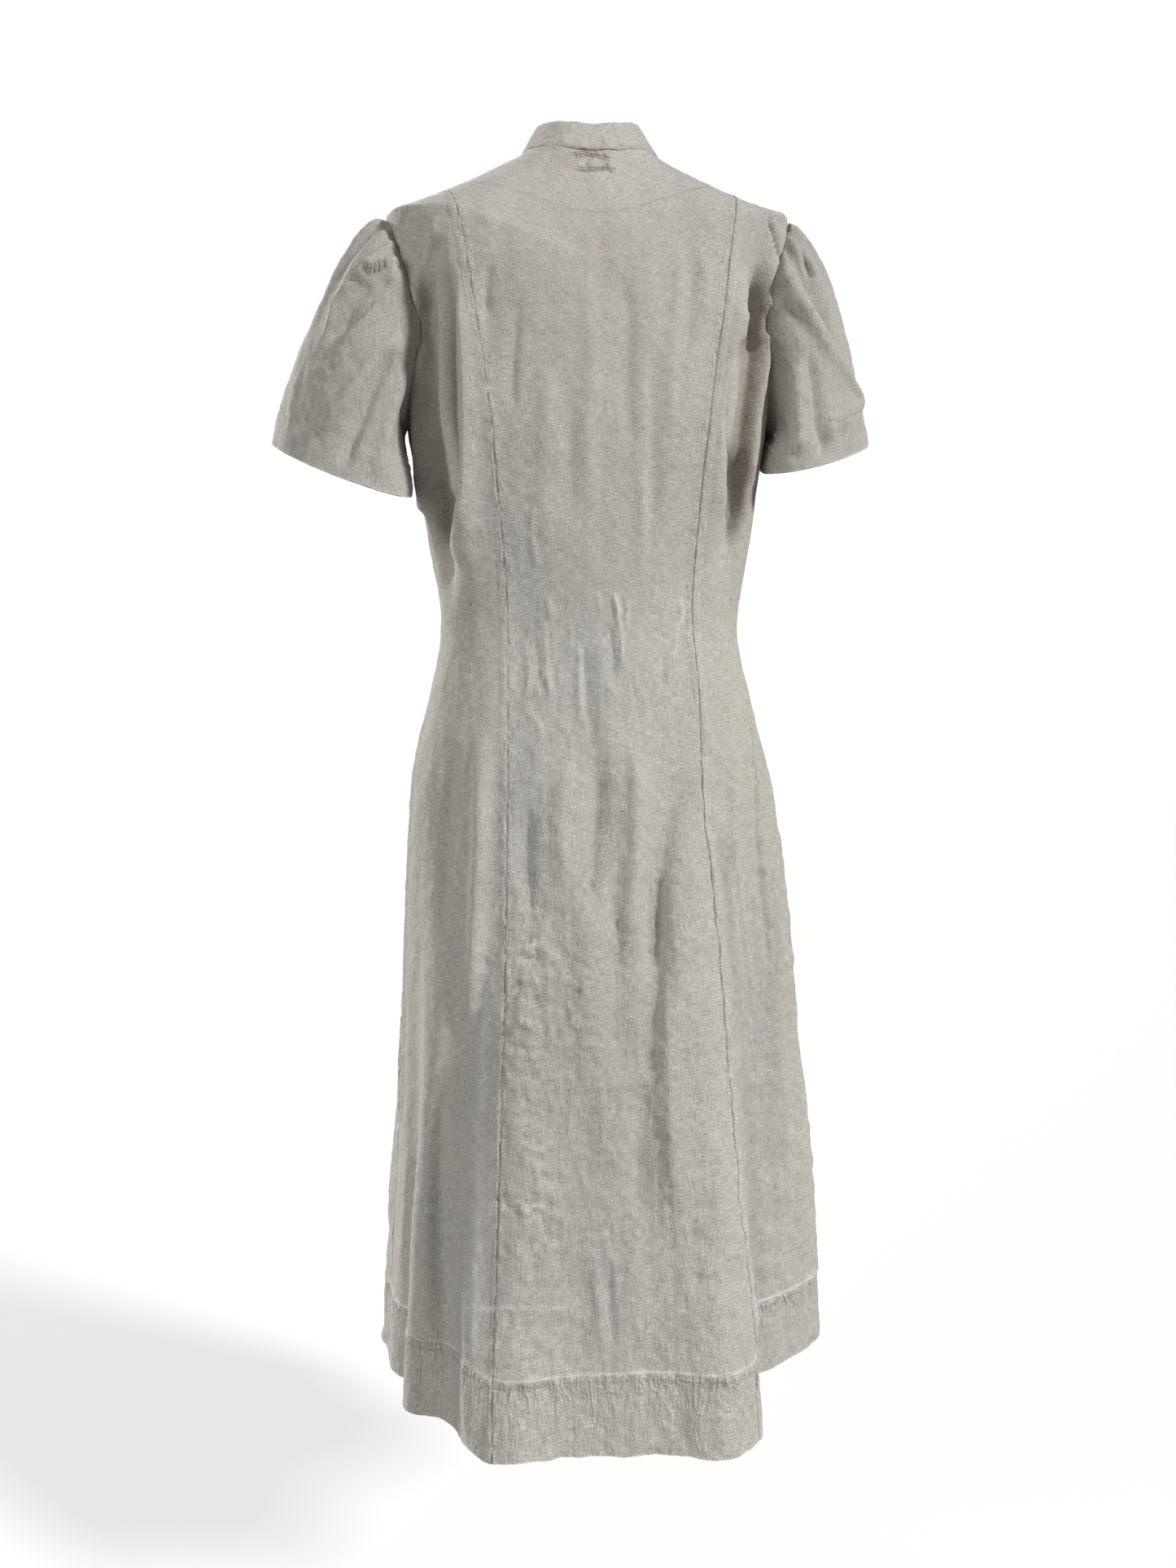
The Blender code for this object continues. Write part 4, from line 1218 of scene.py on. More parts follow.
def linen_material(name):
    material = plain_material(name, LINEN, LINEN_ROUGHNESS)
    tree = material.node_tree
    shader = tree.nodes["Principled BSDF"]
    shader.inputs["Sheen Weight"].default_value = SHEEN
    shader.inputs["Sheen Roughness"].default_value = SHEEN_ROUGHNESS
    shader.inputs["Specular IOR Level"].default_value = SPECULAR
    pattern = add_node(tree, "UVMap", uv_map="pattern").outputs["UV"]
    place = add_node(tree, "TexCoord").outputs["Object"]
    marks = add_node(tree, "Attribute", attribute_name="marks")
    # worn also carries painted light and soiled painted shade, as the marks place them
    worn_and_lit, soiled_and_shaded, tinted = add_node(tree, "SeparateColor", {0: marks.outputs["Color"]}).outputs[:3]
    crumpled = marks.outputs["Alpha"]
    weave = add_node(tree, "Group", node_tree=WEAVE)
    tree.links.new(pattern, weave.inputs["Pattern"])
    mottle = add_node(tree, "Group", node_tree=MOTTLE)
    tree.links.new(place, mottle.inputs["Place"])
    crinkle = add_node(tree, "Group", node_tree=CRINKLE)
    tree.links.new(place, crinkle.inputs["Place"])
    tree.links.new(crumpled, crinkle.inputs["Crumpled"])
    fine = mottle.outputs["Fine"]
    uneven = between(tree, 0.75, 1.25, fine)
    layers = (
        (times(tree, mottle.outputs["Grey"], GREY_SHARE), LINEN_GREY),
        (times(tree, mottle.outputs["Yellow"], YELLOW_SHARE), LINEN_YELLOW),
        (tinted, LINEN_TINT),
        # soiling, and painted shade where the marks darken folds and the lower back
        (times(tree, soiled_and_shaded, uneven), LINEN_SOILED_AND_SHADED),
        # wear, and painted light where the marks brighten ridges and the left of the skirt
        (times(tree, worn_and_lit, uneven), LINEN_WORN_AND_LIT),
        # paler tops of the fine creases: partly rubbed wear, partly painted highlight
        (times(tree, crinkle.outputs["Crest"], CREST_PALE), LINEN_WORN_AND_LIT),
    )
    colour = LINEN
    for share, over in layers:
        colour = mixed(tree, share, colour, over)
    shade = between(tree, 1.0, 1.0 + WEAVE_SHADE, weave.outputs["Shade"])
    level = times(tree, shade, between(tree, 0.96, 1.04, fine))
    grey = add_node(tree, "CombineColor", {channel: level for channel in range(3)})
    colour = mixed(tree, 1.0, colour, grey.outputs[0], "MULTIPLY")
    tree.links.new(colour, shader.inputs["Base Color"])
    rough = between(tree, LINEN_ROUGHNESS, LINEN_ROUGHNESS + 0.12, fine)
    tree.links.new(rough, shader.inputs["Roughness"])
    threads_high = times(tree, weave.outputs["Height"], THREAD_HEIGHT)
    creases_high = times(tree, crinkle.outputs["Height"], CRINKLE_HEIGHT)
    height = added(tree, threads_high, creases_high)
    relief = add_node(tree, "Bump", {"Height": height, "Strength": 1.0, "Distance": 1.0})
    tree.links.new(relief.outputs["Normal"], shader.inputs["Normal"])
    return material


linen = linen_material("washed_linen")
print("material:", linen.name)

# %% [markdown]
# ## Marks on the cloth
#
# Wear isn't spread evenly. A few faint stains, dull patches and the tinted patch under the collar
# have their own places, and so has painted shade: the lower back and the deep folds of the bodice
# and the skirt are darkened in colour. Each is a soft spot around a place in the photograph.
# Others are lines: the old hem line, ridges that are paler from rubbed wear and painted highlight,
# a band of painted light on the left of the skirt, and painted shade along deep folds. Their sizes
# are half widths, in pixels of the photograph for spots and millimetres for lines.

# %% Stains and worn spots
# channels of the marks: worn also carries painted light and highlight, soiled also carries painted shade
WORN_AND_PAINTED_LIGHT, SOILED_AND_PAINTED_SHADE, TINTED, CRUMPLED = range(4)
# kind, x, y, half width, half height, strength
MARKS = (
    (TINTED, 724, 196, 30, 16, 0.6),
    # painted shade: the lower back darkened in colour, for light that falls off there
    (SOILED_AND_PAINTED_SHADE, 740, 1290, 120, 340, 0.3),
    (TINTED, 738, 298, 26, 18, 0.28),
    (SOILED_AND_PAINTED_SHADE, 700, 330, 90, 40, 0.1),
    (SOILED_AND_PAINTED_SHADE, 630, 360, 40, 60, 0.1),
    (TINTED, 590, 1548, 5, 5, 0.45),
    (SOILED_AND_PAINTED_SHADE, 655, 1560, 50, 60, 0.12),
    (SOILED_AND_PAINTED_SHADE, 655, 1300, 40, 60, 0.08),
    (TINTED, 742, 1206, 6, 12, 0.35),
    (SOILED_AND_PAINTED_SHADE, 720, 1700, 60, 9, 0.14),
    (SOILED_AND_PAINTED_SHADE, 640, 1704, 30, 5, 0.35),
    (SOILED_AND_PAINTED_SHADE, 880, 1702, 20, 5, 0.3),
    (TINTED, 978, 1598, 4, 1.2, 0.6),
    (SOILED_AND_PAINTED_SHADE, 645, 777, 3, 3, 0.6),
    # painted shade: the deep side folds of the bodice, under the arms, darkened in colour
    (SOILED_AND_PAINTED_SHADE, 940, 590, 14, 16, 0.2),
    (SOILED_AND_PAINTED_SHADE, 545, 440, 15, 110, 0.55),
    (SOILED_AND_PAINTED_SHADE, 548, 600, 13, 90, 0.45),
    (SOILED_AND_PAINTED_SHADE, 926, 420, 14, 100, 0.5),
    (SOILED_AND_PAINTED_SHADE, 908, 580, 13, 90, 0.45),
    # painted shade along the deep fold at the right side of the skirt
    (SOILED_AND_PAINTED_SHADE, 950, 1250, 14, 240, 0.16),
    (WORN_AND_PAINTED_LIGHT, 655, 1163, 14, 5, 0.25),
    (WORN_AND_PAINTED_LIGHT, 815, 1598, 22, 6, 0.16),
)
# kind, strength, half width, path
LINES = (
    (WORN_AND_PAINTED_LIGHT, 0.5, 1.5, ((574, 1607), (604, 1606), (650, 1606), (702, 1605))),
    # paler crest of a ridge on the right of the skirt: partly rubbed wear, partly painted highlight
    (WORN_AND_PAINTED_LIGHT, 0.5, 1.7, ((913, 1500), (920, 1590), (925, 1686))),
    # painted light: a pale band that brightens the left of the skirt
    (WORN_AND_PAINTED_LIGHT, 0.3, 9.0, ((600, 1100), (594, 1300), (588, 1480), (586, 1680))),
    # painted shade: darkening along the deep folds of the bodice and the troughs of the skirt
    (SOILED_AND_PAINTED_SHADE, 0.5, 14.0, ((524, 322), (532, 437), (540, 535), (541, 693))),
    (SOILED_AND_PAINTED_SHADE, 0.5, 11.0, ((950, 330), (934, 410), (914, 502), (910, 578), (914, 650))),
    (SOILED_AND_PAINTED_SHADE, 0.24, 9.0, ((884, 1010), (908, 1250), (924, 1450), (934, 1600))),
    (SOILED_AND_PAINTED_SHADE, 0.2, 9.0, ((724, 850), (730, 930), (733, 1020), (728, 1120))),
)
LINE_ENDS = 3.0
# how pale the crests get: rubbed wear and painted highlight
RUBBED_AND_LIT_GAIN = 120.0
LINE_LIMIT = 0.6
MARK_LIMIT = 2.0
CRUMPLED_LEAST = 0.12
CRUMPLED_MORE = 0.3
FINE_SIZE = 0.0062


def placed_marks():
    found = []
    for kind, x, y, wide, tall, strength in MARKS:
        place, _ = seen_on("body", (x, y))
        away = CAMERA_DISTANCE - place[1] * math.cos(CAMERA_AZIMUTH)
        pixel = away / FOCAL_PIXELS
        found.append((kind, place, wide * pixel, tall * pixel, strength))
    return found


def placed_lines():
    """Lines of wear, dirt, painted highlight and painted shade, each with the factor that turns its lift
    into a strength.
    """
    found = [(WORN_AND_PAINTED_LIGHT, RUBBED_AND_LIT_GAIN, crease) for crease in RUBBED_AND_LIT_CRESTS]
    for kind, strength, wide, path in LINES:
        line = Crease(1.0, wide, wide, LINE_ENDS * wide, *seen_path("body", path))
        found.append((kind, strength / line.height, line))
    return found


PLACED_MARKS = placed_marks()
PLACED_LINES = placed_lines()


def fine_noise(points):
    """Noise of the size of a few threads, for edges of marks and puckers."""
    return noise(points / FINE_SIZE + 2.0)


def marks_on(points):
    """Worn and painted light, soiled and painted shade, tinted and crumpled for each point of a grid."""
    marks = np.zeros(points.shape[:-1] + (4,))
    for kind, place, wide, tall, strength in PLACED_MARKS:
        gap = points - place
        away = (gap[..., 0] ** 2 + gap[..., 1] ** 2) / wide**2 + gap[..., 2] ** 2 / tall**2
        marks[..., kind] += strength * np.exp(-away)
    flat = points.reshape(-1, 3)
    along = np.zeros((len(flat), 4))
    for kind, factor, line in PLACED_LINES:
        near = line.near(flat)
        if near.any():
            along[near, kind] += factor * line.lift(flat[near])
    marks += np.clip(along, 0.0, LINE_LIMIT).reshape(marks.shape)
    marks[..., CRUMPLED] = CRUMPLED_LEAST + CRUMPLED_MORE * crumpled_at("body", points)
    return marks


print("marks:", len(PLACED_MARKS), "lines:", len(PLACED_LINES))

# %% [markdown]
# ## The panels of the body
#
# A panel is ruled between its two seams: each row runs evenly from one seam to the other. Close
# to a seam the columns crowd together, because there the cloth turns under. Both neighbours dip
# into the same groove, and that is what makes a seam read as a seam. The allowance inside shows
# as a faint ridge a finger's breadth wide beside the groove, and it puckers.

# %% Spacing of rows and columns
EDGE_STEPS = (0.0, 0.0005, 0.0011, 0.0019, 0.0034)
GROOVE_DEPTH = 0.0006
GROOVE_WIDTH = 0.0014
ALLOWANCE = 0.0085
ALLOWANCE_RISE = 0.0005
PUCKER = 0.0008
HEM_FOLD = 1.2085
HEM_SEWN = HEM_STITCH + 0.0006
HEM_FINE = 0.004
PITCH = {"back_center": 0.0029, "back_side": 0.0029, "front_side": 0.0042, "front": 0.0042}
COLUMNS = {"back_center": 94, "back_side": 60, "front_side": 46, "front": 44}
ARMHOLE_BACK = math.radians(14.0)
ARMHOLE_FRONT = math.radians(20.0)
LAP_HALF = 0.015
LAP_RAMP = 0.02
LAP_CLEAR = 0.004
LAP_LOOSE = 0.0002
SEAM_GAP = 0.0003
HEM_EXTRA = 0.0008
HEM_STEP = 0.004


def spaced(length, pitch_count, crowd_start=True, crowd_end=True):
    """Distances from 0 to length, crowded near the chosen ends; length may be an array."""
    length = np.atleast_1d(length)
    edge = np.array(EDGE_STEPS)
    head = edge if crowd_start else np.zeros(1)
    tail = edge[::-1] if crowd_end else np.zeros(1)
    middle = np.linspace(0.0, 1.0, pitch_count + 1)[1:-1]
    first = np.minimum(head[None], length[:, None] * head[None] / max(edge[-1], 1e-9) * 0.3)
    last = np.minimum(tail[None], length[:, None] * tail[None] / max(edge[-1], 1e-9) * 0.3)
    start = first[:, -1:]
    end = length[:, None] - last[:, :1]
    return np.concatenate([first, start + (end - start) * middle[None], length[:, None] - last], axis=1)


def body_rows(pitch):
    """Rows shared by the panels, and how many of them lie above the armhole."""
    neck = spaced(PRINCESS_TOP, int(PRINCESS_TOP / pitch), True, False)[0]
    arm = np.linspace(PRINCESS_TOP, UNDERARM, int((UNDERARM - PRINCESS_TOP) / pitch) + 1)
    rest = np.linspace(UNDERARM, HEM_FOLD - HEM_FINE, int((HEM_FOLD - UNDERARM) / pitch) + 1)
    fold = np.linspace(HEM_FOLD - HEM_FINE, HEM_STITCH + HEM_FINE, 15)
    hem = np.linspace(HEM_STITCH + HEM_FINE, HEM - 0.002, int((HEM - HEM_STITCH) / pitch))
    last = np.array([HEM - 0.001, HEM])
    rows = np.concatenate([neck, arm[1:], rest[1:], fold[1:], hem[1:], last])
    return rows, len(neck) - 1, len(arm)


def ruled(first, last, share):
    return first[:, None] * (1.0 - share) + last[:, None] * share


def row_widths(angle_ends, down_ends):
    """Length over the cloth of each row, measured in short steps."""
    share = np.linspace(0.0, 1.0, 33)[None]
    points = body(ruled(angle_ends[0], angle_ends[1], share), ruled(down_ends[0], down_ends[1], share))
    return gaps(points, axis=1).sum(axis=1)


# %% [markdown]
# What lifts a panel has its own function, and so have its marks. `dress_panel` makes all seven
# body pieces: it is given the angle and "down" of both ends of each row, adds the lift to the
# plain form, and lays the piece out flat.

# %% What lifts a panel
PUCKER_WIDTH = 0.006
PUCKER_START = 0.0012
ALLOWANCE_UNEVEN = 0.0003
HEM_FOLD_RISE = 0.0009
HEM_FOLD_WIDTH = 0.0011
HEM_FOLD_STEP = 0.003
HEM_PUCKER = 0.0019
HEM_PUCKER_REACH = 0.026
HEM_GROOVE = 0.0006
HEM_LAYER = 0.0003
UPRIGHT = (1.0, 1.0, 0.1)


def hem_lift(points, down):
    """The pressed fold of the hem, and the puckers of its stitching."""
    fold = HEM_FOLD_RISE * bell(down - HEM_FOLD, HEM_FOLD_WIDTH)
    below = ease((down - HEM_FOLD) / HEM_FOLD_STEP)
    drawn = crackle(points * UPRIGHT / 0.01 + 3.0)
    wider = noise(points * UPRIGHT / 0.019 + 8.0)
    near_stitch = np.exp(-np.clip(down - HEM_STITCH, 0.0, None) / HEM_PUCKER_REACH)
    pucker = HEM_PUCKER * below * (0.6 * drawn * near_stitch + 0.6 * wider)
    groove = HEM_GROOVE * bell(down - HEM_SEWN, 0.0012) * (0.6 + 0.4 * drawn)
    return fold + pucker - groove + HEM_LAYER * below


def lap_share(x):
    """0 beside the lap of the front, 1 on it."""
    return ease((x + LAP_HALF + LAP_CLEAR + LAP_RAMP) / LAP_RAMP)


def panel_lift(points, down, nearest, allowance_gap, lap):
    """How far a panel stands off its plain form."""
    lift = WALL / 2.0 - GROOVE_DEPTH * (1.0 - ease(nearest / GROOVE_WIDTH))
    drawn = bell(nearest, PUCKER_WIDTH) * ease(nearest / PUCKER_START)
    lift = lift + PUCKER * fine_noise(points) * drawn
    if allowance_gap is not None:
        beside = ease((ALLOWANCE - allowance_gap) / 0.0012) * ease(allowance_gap / 0.0016)
        lift = lift + beside * (ALLOWANCE_RISE + ALLOWANCE_UNEVEN * noise(points / 0.008 + 6.0))
    lift = lift + hem_lift(points, down) + lift_of("body", points)
    if lap:
        full = WALL + SEAM_GAP + LAP_LOOSE + HEM_EXTRA * ease((down - HEM_STITCH) / HEM_STEP)
        lift = lift + full * lap_share(points[..., 0])
    return lift


# %% What marks a panel
SEAM_DIRT = 0.0009
SEAM_RUB = 0.0028
SEAM_RUB_WIDTH = 0.0014
ALLOWANCE_RUB_WIDTH = 0.0016
HEM_RUB_WIDTH = 0.001
HEM_DIRT_WIDTH = 0.0012
HEM_CRUMPLED_REACH = 0.018
EDGE_RUB = 0.0012
EDGE_DIRT = 0.0045
EDGE_WEAR = 0.0016


def panel_marks(points, down, nearest, allowance_gap, open_gap):
    """Wear and dirt of a panel along its seams, its allowance, its hem and its open edge, over the placed
    marks with their painted shade and light.
    """
    marks = marks_on(points)
    worn_and_lit, soiled_and_shaded, _, crumpled = (marks[..., kind] for kind in range(4))
    fine = fine_noise(points)
    soiled_and_shaded += bell(nearest, SEAM_DIRT) * (0.1 + 0.3 * fine)
    rubbed = bell(nearest - SEAM_RUB, SEAM_RUB_WIDTH) * (0.12 + 0.12 * fine)
    worn_and_lit += rubbed * ease((down - WAIST) / 0.2)
    if allowance_gap is not None:
        worn_and_lit += bell(allowance_gap - ALLOWANCE, ALLOWANCE_RUB_WIDTH) * (0.12 + 0.14 * fine)
    worn_and_lit += bell(down - HEM_FOLD, HEM_RUB_WIDTH) * (0.5 + 0.5 * noise(points / 0.012))
    soiled_and_shaded += bell(down - HEM_SEWN, HEM_DIRT_WIDTH) * (0.3 + 0.3 * fine)
    if open_gap is not None:
        worn_and_lit += bell(open_gap, EDGE_RUB) * (0.3 + 0.2 * fine)
        soiled_and_shaded += bell(open_gap - EDGE_DIRT, EDGE_RUB) * (0.28 + 0.2 * fine)
    worn_and_lit += 0.35 * np.exp((down - HEM) / EDGE_WEAR) * (0.7 + 0.5 * fine)
    below = ease((down - HEM_FOLD) / HEM_FOLD_STEP)
    drawn_in = below * (0.55 + 1.5 * np.exp((HEM_STITCH - down) / HEM_CRUMPLED_REACH))
    beside_seam = 0.9 * bell(nearest, PUCKER_WIDTH)
    marks[..., CRUMPLED] = np.maximum.reduce([crumpled, drawn_in, beside_seam])
    return np.clip(marks, 0.0, MARK_LIMIT)


# %% One panel of the body
HEM_SCALLOP = 0.0016
HEM_SCALLOP_SIZE = 0.013
HEM_LAYER_STEP = 0.001
PATTERN_MIDDLE = PATTERN_UNIT / 2.0


def length_down(points):
    """Length over the cloth of each column, from the first row."""
    return np.vstack([np.zeros((1, points.shape[1])), gaps(points).cumsum(axis=0)])


def dress_panel(kind, angle_ends, down_ends, grain, open_end=False, lap=False):
    """A finished grid of points for one panel, with its thickness, flat pattern and marks."""
    width = row_widths(angle_ends, down_ends)
    from_start = spaced(width, COLUMNS[kind])
    from_end = width[:, None] - from_start
    share = from_start / width[:, None]
    angle = ruled(angle_ends[0], angle_ends[1], share)
    down = ruled(down_ends[0], down_ends[1], share)
    points = body(angle, down)
    is_side = kind.endswith("_side")
    from_top = length_down(points) if is_side else down
    nearest = np.minimum(from_top, from_start)
    if not open_end:
        nearest = np.minimum(nearest, from_end)
    allowance_gap = from_end if is_side else None
    lift = panel_lift(points, down, nearest, allowance_gap, lap)
    outer = points + body_normal(angle, down) * lift[..., None]
    scallop = HEM_SCALLOP * noise(points * (1.0, 1.0, 0.0) / HEM_SCALLOP_SIZE)
    outer[..., 2] += scallop * ease((down - HEM_STITCH) / (HEM - HEM_STITCH))
    marks = panel_marks(points, down, nearest, allowance_gap, from_end if open_end else None)
    flat = np.stack([from_start - width[:, None] * grain + PATTERN_MIDDLE, down], axis=-1)
    thick = CLOTH + CLOTH * ease((down - HEM_FOLD) / HEM_LAYER_STEP)
    return outer, thick, flat, marks


def armhole_curve(turn, widest):
    """Angle and down of an armhole; turn runs from 0 at the shoulder to pi at the underarm."""
    return widest * np.sin(turn), SHOULDER_TIP + (UNDERARM - SHOULDER_TIP) * (1.0 - np.cos(turn)) / 2.0


def back_center():
    rows, _, _ = body_rows(PITCH["back_center"])
    right = math.pi - seam_angle("back", "right", rows)
    left = seam_angle("back", "left", rows)
    return dress_panel("back_center", (right, left), (rows, rows), 0.5)


def side_panel(half, side):
    kind = half + "_side"
    rows, neck_rows, arm_rows = body_rows(PITCH[kind])
    rows = rows[neck_rows:]
    widest = ARMHOLE_BACK if half == "back" else ARMHOLE_FRONT
    arm_angle, arm_down = armhole_curve(np.linspace(0.0, math.pi, arm_rows), widest)
    side_angle = np.concatenate([arm_angle, np.zeros(len(rows) - arm_rows)])
    side_down = np.concatenate([arm_down, rows[arm_rows:]])
    princess = seam_angle(half, side, rows)
    if half == "front":
        side_angle, princess = -side_angle, -princess
    if side == "right":
        side_angle, princess = math.pi - side_angle, math.pi - princess
    return dress_panel(kind, (side_angle, princess), (side_down, rows), 0.5)


def lap_angle(down, past):
    return np.arctan2(past, ring_value("front", down))


def front_panel(side):
    rows, _, _ = body_rows(PITCH["front"])
    edge = -seam_angle("front", side, rows)
    past = -math.pi / 2.0 - lap_angle(rows, LAP_HALF)
    if side == "right":
        edge, past = math.pi - edge, math.pi - past
    laps = side == "right"
    return dress_panel("front", (edge, past), (rows, rows), 1.0, open_end=True, lap=laps)


def hang(name, grid, closed=False):
    """Make a piece of cloth from a finished grid."""
    piece = make_piece(name, *grid, linen, closed=closed)


hang("back_center", back_center())
for half, side in itertools.product(("back", "front"), ("left", "right")):
    hang("%s_side_%s" % (half, side), side_panel(half, side))
for side in ("left", "right"):
    hang("front_" + side, front_panel(side))

# %% [markdown]
# ## The sleeves
#
# A sleeve is a short tube that leaves the armhole square to the body and bends down to its hem.
# A cubic curve with its own leaving and arriving directions makes each line of it, all round the
# hole. The cap is pleated: six soft ridges fade from the armhole towards the hem, and the listed
# creases make the two flat pleats that show behind.

# %% Sleeve form
SLEEVE_HEMS = {
    "left": ((0.247, -0.004, -0.309), (0.068, -0.028, 0.031), (0.0, 0.064, -0.022)),
    "right": ((0.236, -0.004, -0.284), (0.06, -0.028, 0.025), (0.0, 0.064, -0.022)),
}
# how a line leaves the armhole and arrives at the hem: on top, under the arm, and to the back
SLEEVE_LEAVES = np.array([(0.038, 0.0, -0.006), (0.02, 0.0, -0.012), (0.0, 0.026, -0.012)])
SLEEVE_ARRIVES = np.array([(0.012, 0.0, -0.075), (0.004, 0.0, -0.03), (0.0, 0.008, 0.0)])
OUTWARD_X = {"left": np.array([1.0, 1.0, 1.0]), "right": np.array([-1.0, 1.0, 1.0])}
SLEEVE_SEGMENTS = 196
SLEEVE_ROWS = 88
SEWN_GAP = 0.0002
CRUMPLED_SMALL_PIECE = 0.28
PATTERN_ROW = 40
PATTERN_EDGE = 0.1
SLEEVE_FIRST_ROWS = (0.0, 0.003, 0.007, 0.013, 0.022)
SLEEVE_HEM = 0.034
PLEAT_ANGLES = (-67.5, -45.0, -22.5, 22.5, 45.0, 67.5)
PLEAT_HALF_WIDTH = 7.0
PLEAT_OUT = 0.006
PLEAT_STARTS = 0.1
PLEAT_ENDS = 0.75
PLEAT_DIES_OVER = 0.6


def armhole_ring(turn, side):
    """The armhole's points and outward directions, with x outward."""
    behind = turn <= math.pi
    back_angle, back_down = armhole_curve(turn, ARMHOLE_BACK)
    front_angle, front_down = armhole_curve(2.0 * math.pi - turn, ARMHOLE_FRONT)
    angle = np.where(behind, back_angle, -front_angle)
    down = np.where(behind, back_down, front_down)
    if side == "right":
        angle = math.pi - angle
    outward_x = OUTWARD_X[side]
    return body(angle, down) * outward_x, body_normal(angle, down) * outward_x


def sleeve_form(side, turn):
    """The plain tube of a sleeve with its pleats, with x outward."""
    ring, outward = armhole_ring(turn, side)
    start = ring - outward * SEWN_GAP
    cosine = np.cos(turn)[:, None]
    sine = np.sin(turn)[:, None]
    middle, across, backward = np.array(SLEEVE_HEMS[side])
    end = middle + across * cosine + backward * sine
    shares = np.hstack([(1.0 + cosine) / 2.0, (1.0 - cosine) / 2.0, sine])
    leave = shares @ SLEEVE_LEAVES
    arrive = shares @ SLEEVE_ARRIVES
    part = np.concatenate([SLEEVE_FIRST_ROWS, np.linspace(0.033, 0.996, SLEEVE_ROWS - 6), [1.0]])
    value = part[:, None, None]
    back = 1.0 - value
    points = (
        start * back**3
        + (start + leave) * 3.0 * back**2 * value
        + (end - arrive) * 3.0 * back * value**2
        + end * value**3
    )
    degrees = np.degrees((turn + math.pi) % (2.0 * math.pi) - math.pi)
    pleats = sum(bump(degrees - at, PLEAT_HALF_WIDTH) for at in PLEAT_ANGLES)
    fade = ease(part / PLEAT_STARTS) * ease((PLEAT_ENDS - part) / PLEAT_DIES_OVER)
    out = PLEAT_OUT * pleats[None] * fade[:, None]
    return points + surface_normals(points, closed=True) * out[..., None]


# %% What lifts and marks a sleeve
SLEEVE_PUCKER = 0.0005
SLEEVE_GATHER = 0.0009


def sleeve_lift(side, places, from_top, from_hem, cap):
    """The hem's fold and stitches, the armhole's groove and gathers, and the creases."""
    past_hem = from_hem - SLEEVE_HEM
    fold = 0.0005 * ease(-past_hem / 0.0015)
    stitch = -0.0006 * bell(past_hem + 0.001, 0.0014)
    pucker = SLEEVE_PUCKER * noise(places / (0.008, 0.008, 0.03) + 4.0) * bell(past_hem, 0.01)
    groove = -0.0006 * (1.0 - ease(from_top / 0.0016))
    gathers = SLEEVE_GATHER * noise(places / 0.009 + 1.0) * bell(from_top, 0.012)
    gathers = gathers * ease(from_top / 0.002) * cap
    creases = lift_of("sleeve_" + side, places) * ease(from_top / 0.004)
    return WALL / 2.0 + fold + stitch + pucker + groove + gathers + creases


def sleeve_marks(places, from_top, from_hem):
    marks = np.zeros(places.shape[:2] + (4,))
    fine = fine_noise(places)
    past_hem = from_hem - SLEEVE_HEM
    marks[..., SOILED_AND_PAINTED_SHADE] = 0.16 + 0.16 * ease(1.0 - from_top / 0.09) + 0.3 * bell(from_top, 0.0009)
    marks[..., SOILED_AND_PAINTED_SHADE] += 0.3 * bell(past_hem + 0.001, 0.0011) * (0.8 + 0.5 * fine)
    marks[..., WORN_AND_PAINTED_LIGHT] = 0.4 * np.exp(-from_hem / 0.0015) * (0.7 + 0.5 * fine)
    marks[..., WORN_AND_PAINTED_LIGHT] += 0.25 * bell(past_hem - 0.001, 0.001)
    marks[..., CRUMPLED] = CRUMPLED_SMALL_PIECE
    return np.clip(marks, 0.0, MARK_LIMIT)


def sleeve_grid(side):
    turn = np.linspace(0.0, 2.0 * math.pi, SLEEVE_SEGMENTS + 1)
    plain = sleeve_form(side, turn)
    places = plain * OUTWARD_X[side]
    from_top = length_down(plain)
    from_hem = from_top[-1:] - from_top
    lift = sleeve_lift(side, places, from_top, from_hem, (1.0 + np.cos(turn)) / 2.0)
    outer = (plain + surface_normals(plain, closed=True) * lift[..., None]) * OUTWARD_X[side]
    outer[:, -1] = outer[:, 0]
    around = walked(plain[PATTERN_ROW])
    flat = np.stack(np.broadcast_arrays(around + PATTERN_EDGE, from_top + PATTERN_EDGE), axis=-1)
    thick = CLOTH + CLOTH * ease((SLEEVE_HEM - from_hem) / HEM_LAYER_STEP)
    return outer, thick, flat, sleeve_marks(places, from_top, from_hem)


for side in ("left", "right"):
    hang("sleeve_" + side, sleeve_grid(side), closed=True)

# %% [markdown]
# ## The band collar
#
# The collar is a straight band, 31 mm tall, that stands on the neck seam and leans in a little.
# It laps over itself at the front like the dress below it. Its top edge has gone soft and wavy.

# %% Collar band
BAND_HEIGHT = 0.031
BAND_LEAN = 0.018
COLLAR_COLUMNS = 330
COLLAR_THICK = 1.6 * CLOTH
COLLAR_SEWN = 0.0045
COLLAR_GROOVE = 0.0011
COLLAR_PUCKER = 0.0005
NAPE_ARCH = 0.0045
NAPE_ARCH_WIDTH = 0.75


def collar_lift(points, from_bottom, from_top, over):
    """The neck seam's groove, the top edge's roll, the stitch line and the unevenness."""
    lift = WALL / 2.0 + over - COLLAR_GROOVE * (1.0 - ease(from_bottom / 0.002))
    lift = lift - 0.0005 * (1.0 - ease(from_top / 0.0014))
    puckers = COLLAR_PUCKER * noise(points / (0.008, 0.008, 0.02)) * bell(from_bottom, 0.008)
    lift = lift + puckers * ease(from_bottom / 0.002)
    share = from_bottom / (from_bottom + from_top)
    lift = lift + 0.0005 * noise(points / (0.02, 0.02, 0.04) + 9.0) * ease(share)
    return lift - 0.0005 * bell(from_bottom - COLLAR_SEWN, 0.001) + lift_of("collar_band", points)


